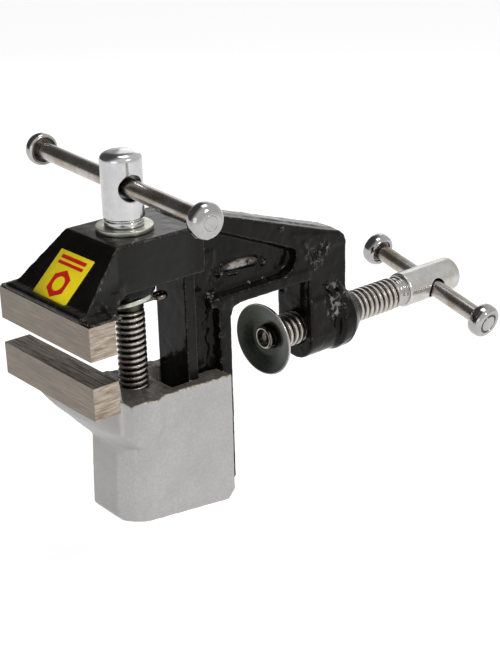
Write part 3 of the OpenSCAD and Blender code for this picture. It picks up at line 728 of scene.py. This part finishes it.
# rougher places on either side: where, how far and how much more
for centre, radius, extra in (
        ((9.0, 47.5, 9.3), (5.0, 6.5, 10.0), 0.6),
        ((8.1, 39.5, 29.0), (3.0, 5.5, 6.0), 0.4),
        ((4.5, -3.0, 28.0), (4.0, 5.0, 5.5), 0.8),
        ((7.5, -6.5, 10.0), (3.5, 3.0, 20.0), 0.35),
        ((4.0, 16.0, 30.0), (3.0, 3.0, 3.0), 0.8)):
    amount += extra * near(one_side, centre, radius)
bores = (np.hypot(v[:, 0], v[:, 2]) < 7.0) & (v[:, 1] > 30) | (np.hypot(v[:, 0], v[:, 1] - SCREW_Y) < 6)
amount[bores] = 0
guide_faces = (v[:, 1] > GUIDE_Y0 - 0.5) & (v[:, 1] < GUIDE_Y1 - 0.4) & (v[:, 2] < HEAD_LOW - 1)
amount[guide_faces] = 0.05
flats = (v[:, 1] > -0.9) & (v[:, 1] < 0.3) & (n[:, 1] > 0.9)
amount[flats] = 0.03
amount[(np.abs(n[:, 2]) > 0.9) & (v[:, 2] > HEAD_TOP - 0.5)] = 0.04
v = roughened(v, n, amount)
# a flat bed for the label: nothing rises above the slope under it
slope_n = np.array([0, -(HEAD_TOP - SLOPE_Z1), SLOPE_Y0 - SLOPE_Y1])
slope_n /= np.linalg.norm(slope_n)
from_edge = v - [0, SLOPE_Y0, HEAD_TOP]
over, down = from_edge @ slope_n, from_edge @ [0, -slope_n[2], slope_n[1]]
bed = (np.abs(v[:, 0]) < 9.3) & (down > 5.9) & (down < 22.8) & (over > -0.04) & (over < 2)
v[bed] -= (over[bed] + 0.04)[:, None] * slope_n
piece("black_casting", v, quads, ENAMEL, "frame", ["fixed_jaw_body"])

# --- silver sliding jaw ---

SHOE_TOP = LOW_Z0 - 5.2
SHOE_HALF, NOSE_HALF = 13.5, 6.6
NOSE_Y, SHOE_Y1 = SCREW_Y - 14, -4.5
FLARE_TOP = LOW_FACE_Z - 3.8
FLARE_Y1 = PLATE_Y1 + 13.5
FLARE_TURN = math.radians(49)
FLARE_LOW, FLANK_LOW = FACE_Z - 29.4, FACE_Z - 27.2
# which way the flare's slanted side faces, on the right
FLANK_X, FLANK_Y, FLANK_Z = 0.281, -0.530, -0.800
POCKET_Y0, POCKET_HALF = SCREW_Y + 8.2, 9.2

# the flare's back edge, from the shoe's top up to the plate
RISE = [(FLARE_Y1, SHOE_TOP), (PLATE_Y1 + 9.5, SHOE_TOP + 1.3), (PLATE_Y1 + 6.4, SHOE_TOP + 4),
    (PLATE_Y1 + 3, SHOE_TOP + 7), (PLATE_Y1, SHOE_TOP + 8.4)]


def rim_back(y, z):
    """Top of the shoe behind the flare."""
    low = SHOE_Z0 - 20
    return flat(y, z, [(PLATE_Y1 - 20, low), (20, low), (20, SHOE_TOP - 3.4)] + RISE
        + [(PLATE_Y1 - 20, SHOE_TOP + 8.4)])


def silver_casting(x, y, z):
    # the nose leans a little, as a casting does to leave its mould
    y_lean = y - 0.8 * np.clip((z + 30) / 16, -1, 1) * np.clip((SCREW_Y + 4 - y) / 12, 0, 1)
    side = prism(y_lean, z, x, [(NOSE_Y, SHOE_Z0 + 7.4), (NOSE_Y + 2, SHOE_Z0 + 5.4), (SHOE_Y1 - 3, SHOE_Z0),
        (SHOE_Y1, SHOE_Z0 + 3.4), (SHOE_Y1, SHOE_TOP + 8), (NOSE_Y, SHOE_TOP + 8)],
        -SHOE_HALF, SHOE_HALF, 1.4)
    plan = prism(x, y_lean, z, mirrored([(SHOE_HALF, SHOE_Y1), (SHOE_HALF, NOSE_Y + 9.6),
        (NOSE_HALF + 4.4, NOSE_Y + 4.4), (NOSE_HALF, NOSE_Y)]), SHOE_Z0 - 4, SHOE_TOP + 4, 0.9)
    rim = flat(y, z, [(NOSE_Y - 9, SHOE_Z0 - 9), (9, SHOE_Z0 - 9), (9, SHOE_TOP - 2.9),
        (FLARE_Y1, SHOE_TOP), (NOSE_Y - 9, SHOE_TOP)])
    block = smooth_max(smooth_max(side, plan, 1.0), rim, 0.5)
    fan = prism(x, y, z, mirrored([(SHOE_HALF, FLARE_Y1 + 8), (SHOE_HALF, FLARE_Y1), (JAW_HALF, PLATE_Y1)]),
        SHOE_Z0, FLARE_TOP, 1.2)
    c, s = math.cos(FLARE_TURN), math.sin(FLARE_TURN)
    under = -s * (y - PLATE_Y1) - c * (z - FLARE_LOW)
    flank = FLANK_X * (np.abs(x) - JAW_HALF) + FLANK_Y * (y - PLATE_Y1) + FLANK_Z * (z - FLANK_LOW)
    under = smooth_max(under, flank, 1.4)
    end = FLARE_Y1 + 7
    back = flat(y, z, [(PLATE_Y1, -60), (end, -60), (end, SHOE_TOP - 0.4)] + RISE, 0.6)
    flare = smooth_max(smooth_max(fan, under, 2.2), back, 0.8)
    # wall behind the plate
    low = SHOE_TOP + 3.7
    wall = prism(x, y, z, mirrored([(22.0, PLATE_Y1), (17.4, PLATE_Y1 + 5.4), (11.5, PLATE_Y1 + 10.5)]),
        low, FLARE_TOP, 0.5)
    slant = flat(y, z, [(PLATE_Y1, low), (PLATE_Y1 + 7.8, low), (PLATE_Y1 + 7.2, SHOE_TOP + 5),
        (PLATE_Y1 + 4.9, FLARE_TOP - 0.6), (PLATE_Y1, FLARE_TOP)], 0.5)
    wall = smooth_max(wall, slant, 0.6)
    # the crease where shoe and flare meet is sharp low down and round above
    blend = 0.9 + 6.5 * np.clip((z + 16.5) / 6, 0, 1)
    out = smooth_min(block, flare, blend)
    out = smooth_max(out, rim_back(y, z), 0.5)
    out = smooth_min(out, wall, 1.2)
    # the screw's bore, wider below the thread
    out = smooth_max(out, -rod(x, y - SCREW_Y, z, 9.86, SHOE_Z0 - 5, SHOE_TOP + 20), 0.6)
    out = smooth_max(out, -rod(x, y - SCREW_Y, z, 12.5, SHOE_Z0 - 5, SHOE_TOP - 21), 0.5)
    # pocket and the slot round the guide
    run, lip = 0.3, WEB_HALF + 1.3
    wide, mouth = COL_HALF + run, GUIDE_Y0 - 0.6
    slot = mirrored([(POCKET_HALF, POCKET_Y0), (POCKET_HALF, mouth), (wide, mouth), (wide, GUIDE_Y1 + run),
        (lip, GUIDE_Y1 + run), (lip, BENCH_Y0 - run), (wide, BENCH_Y0 - run), (wide, 1)])
    return smooth_max(out, -prism(x, y, z, slot, SHOE_Z0 - 5, SHOE_TOP + 5, 0.2), 0.5)


lo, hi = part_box("moving_jaw")
v, quads, n = surface(silver_casting, np.array(lo) * 1000, np.array(hi) * 1000, CASTING_CELL, settle=1)
amount = np.full(len(v), 0.11)
top = n[:, 2] > 0.6
amount[top] = 0.42
inner = (np.abs(v[:, 0]) < 9.5) & (v[:, 1] > POCKET_Y0 - 0.5) & (np.abs(n[:, 2]) < 0.5)
amount[inner] = 0.02
piece("silver_casting", roughened(v, n, amount), quads, SILVER, "slide_jaw", ["moving_jaw"])

# --- steel jaw plates: the CAD solids with their edges eased ---


def repaint(node, material):
    """Give a CAD node its material."""
    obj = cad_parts[node]
    obj.data.materials.clear()
    obj.data.materials.append(material)
    return obj


for node in ("fixed_jaw_plate", "moving_jaw_plate"):
    bevel = repaint(node, PLATE).modifiers.new("eased", "BEVEL")
    bevel.width, bevel.segments, bevel.limit_method = 0.00022, 3, "ANGLE"
for node in ("fixed_plate_dowels", "moving_plate_dowels"):
    repaint(node, PIN)

# --- label: film with a generic hexagon and two bars ---

SLOPE_TURN = math.atan2(HEAD_TOP - SLOPE_Z1, SLOPE_Y0 - SLOPE_Y1)
ON_SLOPE = move(0, SLOPE_Y0, HEAD_TOP) @ Matrix.Rotation(SLOPE_TURN, 4, "X")


def film(outline, lift, thick, hole=None):
    """A thin sheet on the slope from an outline, with its top edge turned over slightly."""
    v, f = [], []
    loops = [outline] if hole is None else [outline, hole]
    for loop in loops:
        for z, grow in ((lift, 0), (lift + thick * 0.7, 0), (lift + thick, -0.06)):
            c = np.mean(loop, axis=0)
            for p in loop:
                d = np.array(p) - c
                q = c + d * (1 + (grow if loop is outline else -grow) / max(np.linalg.norm(d), 0.1))
                v.append((q[0], q[1], z))
    n = len(outline)
    for k in range(len(loops)):
        for row in range(2):
            for i in range(n):
                a, b = 3 * n * k + row * n + i, 3 * n * k + row * n + (i + 1) % n
                quad = [a, b, b + n, a + n]
                f.append(quad if k == 0 else quad[::-1])
    if hole is None:
        f.append([2 * n + i for i in range(n)])
    else:
        for i in range(n):
            j = (i + 1) % n
            f.append([2 * n + i, 2 * n + j, 5 * n + j, 5 * n + i])
    return [ON_SLOPE @ Vector(p) for p in v], f


def on_circle(cx, cy, r, angles):
    return [(cx + r * math.cos(a), cy + r * math.sin(a)) for a in angles]


def rounded_box(x0, x1, y0, y1, r, n=5):
    out = []
    for k, (cx, cy) in enumerate(((x1 - r, y1 - r), (x0 + r, y1 - r), (x0 + r, y0 + r), (x1 - r, y0 + r))):
        out += on_circle(cx, cy, r, [math.radians(90 * k + 90 * i / n) for i in range(n + 1)])
    return out


def hexagon(cx, cy, r, n=6):
    """A hexagon with n points along each side."""
    corners = [np.array(c) for c in on_circle(cx, cy, r, [math.radians(60 * i + 30) for i in range(6)])]
    sides = zip(corners, corners[1:] + corners[:1])
    return [tuple(a + (b - a) * i / n) for a, b in sides for i in range(n)]


def circle(cx, cy, r, n=36):
    return on_circle(cx, cy, r, [2 * math.pi * i / n + math.pi / 6 for i in range(n)])


LABEL_TOP, LABEL_W, LABEL_H = -6.4, 17.8, 16.1
film_v, film_f = film(rounded_box(-LABEL_W / 2, LABEL_W / 2, LABEL_TOP - LABEL_H, LABEL_TOP, 0.35), 0.0, 0.24)
piece("label_film", film_v, film_f, YELLOW, "frame", ["name_label"])
HEX_Y, INK_LIFT, INK_THICK = LABEL_TOP - 10.6, 0.235, 0.03
ink = joined(
    film(hexagon(0, HEX_Y, 4.9), INK_LIFT, INK_THICK, circle(0, HEX_Y, 2.5)),
    film(rounded_box(-6.6, 6.6, LABEL_TOP - 2.7, LABEL_TOP - 1.4, 0.3), INK_LIFT, INK_THICK),
    film(rounded_box(-6.6, 6.6, LABEL_TOP - 4.6, LABEL_TOP - 3.5, 0.3), INK_LIFT, INK_THICK))
piece("label_print", ink[0], ink[1], RED, "frame")

# --- jaw screw ---

AT_SCREW = move(0, SCREW_Y, 0)
BAR1_TURN = math.radians(-6)
HEAD_D, HOLE_D = 13.2, 8.0
# half the width of the space that a head is meshed in
HEAD_ROOM = 6.8
HEAD1_Z0 = THRUST_TOP + 2.55


def arc(r0, z0, rr, rz, start, stop, n=8):
    """Points of an elliptical arc in [radius, height], angles in degrees."""
    angles = [math.radians(a) for a in np.linspace(start, stop, n)]
    return [(r0 + rr * math.cos(a), z0 + rz * math.sin(a)) for a in angles]


def vise_head(x, y, z):
    y = y - SCREW_Y
    around = np.hypot(x, y)
    top = HEAD1_Z0 + 18.4
    dome = arc(HEAD_D / 2 - 3.2, top, 3.2, SCREW_Z1 - 0.35 - top, 0, 84, 7)
    body = flat(around, z, [(-9, HEAD1_Z0), (HEAD_D / 2, HEAD1_Z0)] + dome
        + [(0, SCREW_Z1), (-9, SCREW_Z1)], 0.3)
    neck = rod(x, y, z, 11.6, THRUST_TOP + 1.2, HEAD1_Z0 + 2, 0.1)
    collar = rod(x, y, z, 12.6, THRUST_TOP + 0.05, THRUST_TOP + 1.95, 0.35)
    out = np.minimum(np.minimum(body, neck), collar)
    c, s = math.cos(BAR1_TURN), math.sin(BAR1_TURN)
    hole = np.hypot(-x * s + y * c, z - BAR1_Z) - HOLE_D / 2
    return smooth_max(out, -hole, 0.5)


v, quads, n = surface(vise_head, (-HEAD_ROOM, SCREW_Y - HEAD_ROOM, THRUST_TOP),
    (HEAD_ROOM, SCREW_Y + HEAD_ROOM, SCREW_Z1), HEAD_CELL, settle=3)
piece("vise_screw_head", v, quads, HEAD1, "jaw_screw", ["vise_screw"])
end = eased([(0, SCREW_Z0), (3.2, SCREW_Z0), (3.65, SCREW_Z0 + 0.6), (3.65, SCREW_Z0 + 1.4)], 0.3)
end = turned(end, AT_SCREW)
plain = turned([(3.75, FACE_Z + 1.6), (4.6, FACE_Z + 2.2), (4.6, KEEP_Z1 + 0.6), (4.75, KEEP_Z1 + 0.8),
    (4.75, THRUST_TOP + 0.6)], AT_SCREW)
coil = helix(9.7, 3.75, 2.0, SCREW_Z0 + 1.2, FACE_Z + 2.0, AT_SCREW, n=96, runout=1.0)
v, f = joined(coil, end, plain)
# the plain shank and the screw's end are dark oily steel; below the washer this dark is also a painted shade
piece("vise_screw_thread", v, f, THREAD1, "jaw_screw", second=(OIL_AND_SHADE, len(coil[1])))

# --- washers ---


def washer(name, outer, bore, thick, place, body, node):
    inner, rim = bore / 2, outer / 2
    ring = [(inner + 0.15, 0), (rim, 0), (rim, thick), (inner, thick), (inner, 0.1), (inner + 0.15, 0)]
    v, f = turned(eased(ring, 0.30), place)
    piece(name, v, f, ZINC, body, [node])


washer("thrust_ring", 18.2, 9.8, THRUST_TOP - HEAD_TOP, move(0, SCREW_Y, HEAD_TOP), "frame", "thrust_washer")
# the lower washer lies tilted on the split pin
TILT = turn(-145, "Z") @ turn(12.5, "Y")
keep_place = move(0, SCREW_Y, (KEEP_Z0 + KEEP_Z1) / 2 + 0.1) @ TILT @ move(0, 0, -0.7)
washer("retaining_ring", 15.6, 10.6, 1.5, keep_place, "jaw_screw", "retaining_washer")

# --- split pin ---


def tube(path, radii, n=14):
    """A closed tube along a path of points, with a radius at each."""
    p = [Vector(q) for q in path]
    v, f = [], []
    side = None
    for i, q in enumerate(p):
        t = (p[min(i + 1, len(p) - 1)] - p[max(i - 1, 0)]).normalized()
        side = (side - t * side.dot(t)).normalized() if side else t.orthogonal().normalized()
        up = t.cross(side)
        for k in range(n):
            a = 2 * math.pi * k / n
            v.append(q + (side * math.cos(a) + up * math.sin(a)) * radii[i])
    for i in range(len(p) - 1):
        for k in range(n):
            j = (k + 1) % n
            f.append([i * n + k, i * n + j, (i + 1) * n + j, (i + 1) * n + k])
    f.append(list(range(n))[::-1])
    f.append([(len(p) - 1) * n + k for k in range(n)])
    return v, f


PIN_Z = FACE_Z + 2.75
pin_place = move(0, SCREW_Y, PIN_Z) @ turn(77, "Z") @ turn(-6, "Y")


def leg(sign, bent, bent_radii):
    """Half the pin: from the eye's far side, round it, along the shank and out at the bent end."""
    path = [(10.4 + 1.7 * math.cos(a), sign * 1.4 * math.sin(a), 0) for a in np.linspace(0, 2.5, 10)]
    path += [(8.1, sign * 0.62, 0), (5, sign * 0.56, 0), (0, sign * 0.56, 0), (-5, sign * 0.56, 0)]
    radii = [1.15] * 9 + [0.9] + [0.66] * (len(path) - 10) + bent_radii
    return tube([pin_place @ Vector(p) for p in path] + bent, radii)


leg_a = leg(1, [(-0.2, -41.6, 27.0), (-1.0, -42.6, 27.3), (-1.6, -43.2, 27.4)], [0.66, 0.62, 0.42])
leg_b = leg(-1, [(0.9, -41.2, 26.6), (2.6, -41.9, 26.1), (4.2, -42.0, 25.5)], [0.7, 0.8, 0.85])
v, f = joined(leg_a, leg_b)
piece("split_pin_bent", v, f, PIN, "jaw_screw", ["split_pin"])

# --- tommy bars and knobs ---


def bar(name, d, ends, length, place, body, node):
    """A rod whose riveted ends follow the profile ends, drawn from the rod's shoulder outward."""
    near_end = [(r, length + z) for r, z in ends]
    path = eased([(r, -z) for r, z in ends[::-1]] + [(d / 2, 0), (d / 2, length)] + near_end, 0.3)
    spread = [path[0]]
    for p, q in zip(path, path[1:]):
        steps = max(1, int(abs(q[1] - p[1]) / 4))
        spread += [p + (q - p) * (i + 1) / steps for i in range(steps)]
    v, f = turned(spread, place, 64)
    piece(name, v, f, ROD, body, [node])


def knob(name, profile, dark, place, body, node):
    """A turned knob, with dirt and painted shade lying dark in the grooves given as profiles."""
    v, f = turned(eased(profile, 0.7, 5), place, 96)
    grooves = [turned(g, place, 96) for g in dark]
    whole = joined((v, f), *grooves)
    piece(name, whole[0], whole[1], CHROME, body, [node], (OIL_AND_SHADE, len(f)))


on_bar1 = move(0, SCREW_Y, BAR1_Z) @ Matrix.Rotation(BAR1_TURN, 4, "Z") @ turn(90, "Y")
BAR1_S0, BAR1_LEN = -55.1, 102.3
DIP = math.radians(14.8)
on_bar2 = move(0, BAR2_Y, 0) @ Matrix.Rotation(math.pi / 2 + DIP, 4, "Y")
BAR2_S0, BAR2_LEN = -26.6, 56.8
far1, near1 = on_bar1 @ move(0, 0, BAR1_S0), on_bar1 @ move(0, 0, BAR1_S0 + BAR1_LEN)
far2, near2 = on_bar2 @ move(0, 0, BAR2_S0), on_bar2 @ move(0, 0, BAR2_S0 + BAR2_LEN)
turn_over = turn(180, "X")

bar("vise_tommy_bar", 5.8, [(2.1, 0.1), (2.1, 2.9), (0, 2.9)], BAR1_LEN, far1, "jaw_bar", "vise_bar")
bar("clamp_tommy_bar", 6.4, [(2.9, 0.1), (2.9, 1.8), (0, 1.8)], BAR2_LEN, far2, "bench_bar", "clamp_bar")
ball = [(2.98, -1.2), (3.8, -1.2), (4.0, -2.0), (4.6, -2.2), (5.3, -1.6), (5.6, -0.2), (5.4, 1.2),
    (4.6, 2.35), (3.6, 2.95), (2.6, 3.1), (2.3, 3.1), (2.2, 2.96), (2.1, 3.1), (0, 3.15)]
wheel = [(3.28, -1.2), (4.2, -1.2), (4.5, -2.5)]
wheel += arc(4.7, -0.1, 1.7, 2.9, -70, 20, 7) + arc(4.9, 0.5, 1.5, 2.5, 20, 84, 6)
wheel += [(3.95, 3.05), (3.75, 2.2), (3.2, 2.1), (3.1, 2.9), (2.9, 3.1), (0, 3.15)]
# dark rings where knob and rod meet and round the rivet: dirt and painted shade
ball_dirt_and_shade = [[(3.75, -1.25), (2.95, -1.25)]]
wheel_dirt_and_shade = [[(4.25, -1.25), (3.25, -1.25)], [(3.12, 2.22), (3.78, 2.32)]]
knob("vise_knob_near_end", ball, ball_dirt_and_shade, near1, "jaw_bar", "vise_knob_right")
knob("vise_knob_far_end", ball, ball_dirt_and_shade, far1 @ turn_over, "jaw_bar", "vise_knob_left")
knob("clamp_knob_near_end", wheel, wheel_dirt_and_shade, near2, "bench_bar", "clamp_knob_near")
knob("clamp_knob_far_end", wheel, wheel_dirt_and_shade, far2 @ turn_over, "bench_bar", "clamp_knob_far")

# --- clamp screw and pad ---

ALONG_Y = turn(-90, "X")
THREAD_Y0, THREAD_Y1, CLAMP_HEAD_Y = 25.1, 85.1, 88.7


def clamp_head(x, y, z):
    around = np.hypot(x, z)
    dome = arc(HEAD_D / 2 - 2.2, CLAMP_Y1 - 1.7, 2.2, 1.7, 0, 86, 6)
    out = flat(around, y, [(-9, CLAMP_HEAD_Y), (HEAD_D / 2 - 0.4, CLAMP_HEAD_Y),
        (HEAD_D / 2, CLAMP_HEAD_Y + 0.6)] + dome + [(-9, CLAMP_Y1)], 0.3)
    c, s = math.cos(DIP), math.sin(DIP)
    hole = np.hypot(x * s + z * c, y - BAR2_Y) - HOLE_D / 2
    return smooth_max(out, -hole, 0.5)


v, quads, n = surface(clamp_head, (-HEAD_ROOM, CLAMP_HEAD_Y, -HEAD_ROOM),
    (HEAD_ROOM, CLAMP_Y1, HEAD_ROOM), HEAD_CELL, settle=3)
piece("clamp_screw_head", v, quads, HEAD2, "bench_screw", ["clamp_screw"])
shaded_hollow = turned([(0, CLAMP_Y0 + 3.6), (3.1, CLAMP_Y0 + 3.5), (3.15, CLAMP_Y0 + 0.5)], ALONG_Y)
ring = eased([(3.15, CLAMP_Y0 + 0.5), (3.2, CLAMP_Y0 + 0.05), (3.5, CLAMP_Y0), (3.75, CLAMP_Y0 + 0.15)], 0.15)
ring = turned(ring, ALONG_Y)
tip = turned(eased([(3.75, CLAMP_Y0 + 0.15), (4.35, CLAMP_Y0 + 0.6), (4.2, CLAMP_Y0 + 1.1),
    (3.65, CLAMP_Y0 + 1.8), (3.65, CLAMP_Y0 + 3.7), (4.8, CLAMP_Y0 + 3.8),
    (4.8, THREAD_Y0 + 0.4)], 0.3), ALONG_Y)
neck = turned(eased([(4.7, THREAD_Y1 - 0.5), (5.3, THREAD_Y1 + 0.3), (5.3, THREAD_Y1 + 1.5),
    (5.75, THREAD_Y1 + 1.9), (5.75, CLAMP_HEAD_Y - 0.6), (5.2, CLAMP_HEAD_Y - 0.3),
    (5.9, CLAMP_HEAD_Y + 0.3)], 0.3), ALONG_Y)
# ring and neck bright, tip and hollow in dark pin steel; in the hollow the dark is a painted shade
v, f = joined(ring, neck, tip, shaded_hollow)
bright_faces = len(ring[1]) + len(neck[1])
piece("clamp_screw_ends", v, f, CHROME, "bench_screw", second=(PIN, bright_faces))
v, f = helix(12.0, 4.65, 2.5, THREAD_Y0, THREAD_Y1, ALONG_Y, n=96, k=18, runout=1.4)
piece("clamp_screw_thread", v, f, THREAD2, "bench_screw")

# the pad hangs a little low and swivelled on its loose lip
HUB = PAD_Y0 + 2.6
hung = move(0, HUB, -PAD_DROP) @ turn(4.5, "Z") @ move(0, -HUB, 0) @ ALONG_Y
front = [(3.95, 2.5), (6.4, 2.05), (9.6, 0.95), (12.4, 0.05), (12.9, 0.05), (13.0, 0.5)]
rear = [(12.7, 1.1), (10, 2.15), (6.8, 3.35), (4.3, 3.85), (3.95, 3.6), (3.95, 2.5)]
dish = eased([(r, PAD_Y0 + y) for r, y in front + rear], 0.5)
v, f = turned(dish, hung, 128)
piece("pad_dish", v, f, PAD, "pad", ["clamp_pad"])

# --- stage, camera and light ---

floor_size, floor_z = 6.0, -0.085
mesh = bpy.data.meshes.new("floor")
corners = ((-1, -1), (1, -1), (1, 1), (-1, 1))
mesh.from_pydata([(x * floor_size, y * floor_size, floor_z) for x, y in corners], [], [(0, 1, 2, 3)])
floor = bpy.data.objects.new("floor", mesh)
bpy.context.scene.collection.objects.link(floor)
paper = Nodes("paper", Roughness=0.9, Emission_Color=(1, 1, 1, 1), Emission_Strength=0.52)
paper.colour(paper.mix(paper.noise(400, 2), grey(0.76), grey(0.78)))
mesh.materials.append(paper.material)

az, el, roll = (math.radians(a) for a in (50.05, 22.03, -1.40))
back = Vector((math.sin(az) * math.cos(el), -math.cos(az) * math.cos(el), math.sin(el)))
right = Vector((math.cos(az), math.sin(az), 0))
up = back.cross(right)
right, up = right * math.cos(roll) + up * math.sin(roll), up * math.cos(roll) - right * math.sin(roll)
camera = bpy.data.cameras.new("camera")
camera.lens, camera.sensor_width, camera.clip_start, camera.clip_end = 73.83, 36.0, 0.01, 100
eye = bpy.data.objects.new("camera", camera)
bpy.context.scene.collection.objects.link(eye)
eye_at = Vector((0.32700, -0.25948, 0.17919))
rows = [(right[k], up[k], back[k], eye_at[k]) for k in range(3)]
eye.matrix_world = Matrix(rows + [(0, 0, 0, 1)])
bpy.context.scene.camera = eye


def lamp(name, place, target, size, power, colour=(1, 1, 1)):
    light = bpy.data.lights.new(name, "AREA")
    light.shape, light.size, light.size_y = "RECTANGLE", size[0], size[1]
    light.energy, light.color = power, colour
    obj = bpy.data.objects.new(name, light)
    bpy.context.scene.collection.objects.link(obj)
    aim = (Vector(target) - Vector(place)).to_track_quat("-Z", "Y")
    obj.matrix_world = Matrix.Translation(place) @ aim.to_matrix().to_4x4()


lamp("key", (0.75, 0.10, 0.55), (0, 0, 0.01), (0.14, 0.14), 2.3)
lamp("top", (0.0, 0.15, 0.9), (0, 0, 0), (0.35, 0.35), 1.5)
lamp("fill", (0.30, -0.85, 0.20), (0, 0, 0), (0.5, 0.4), 0.6)
lamp("rear", (-0.6, 0.6, 0.35), (0, 0, 0.02), (0.4, 0.4), 0.48)

world = bpy.data.worlds.new("studio")
bpy.context.scene.world = world
world.use_nodes = True
tree = world.node_tree
coord = tree.nodes.new("ShaderNodeTexCoord")
dot = tree.nodes.new("ShaderNodeVectorMath")
dot.operation = "DOT_PRODUCT"
DIM_SIDE = (-0.71, -0.345, 0.607)
dot.inputs[1].default_value = Vector(DIM_SIDE).normalized()
tree.links.new(coord.outputs["Generated"], dot.inputs[0])
shade = tree.nodes.new("ShaderNodeMapRange")
shade.interpolation_type = "SMOOTHSTEP"
for key, number in zip(("From Min", "From Max", "To Min", "To Max"), (0.30, 0.85, 0.85, 0.09)):
    shade.inputs[key].default_value = number
tree.links.new(dot.outputs["Value"], shade.inputs["Value"])
sky = tree.nodes["Background"]
sky.inputs["Color"].default_value = (1, 1, 1, 1)
tree.links.new(shade.outputs["Result"], sky.inputs["Strength"])

bpy.context.scene.view_settings.view_transform = "Standard"
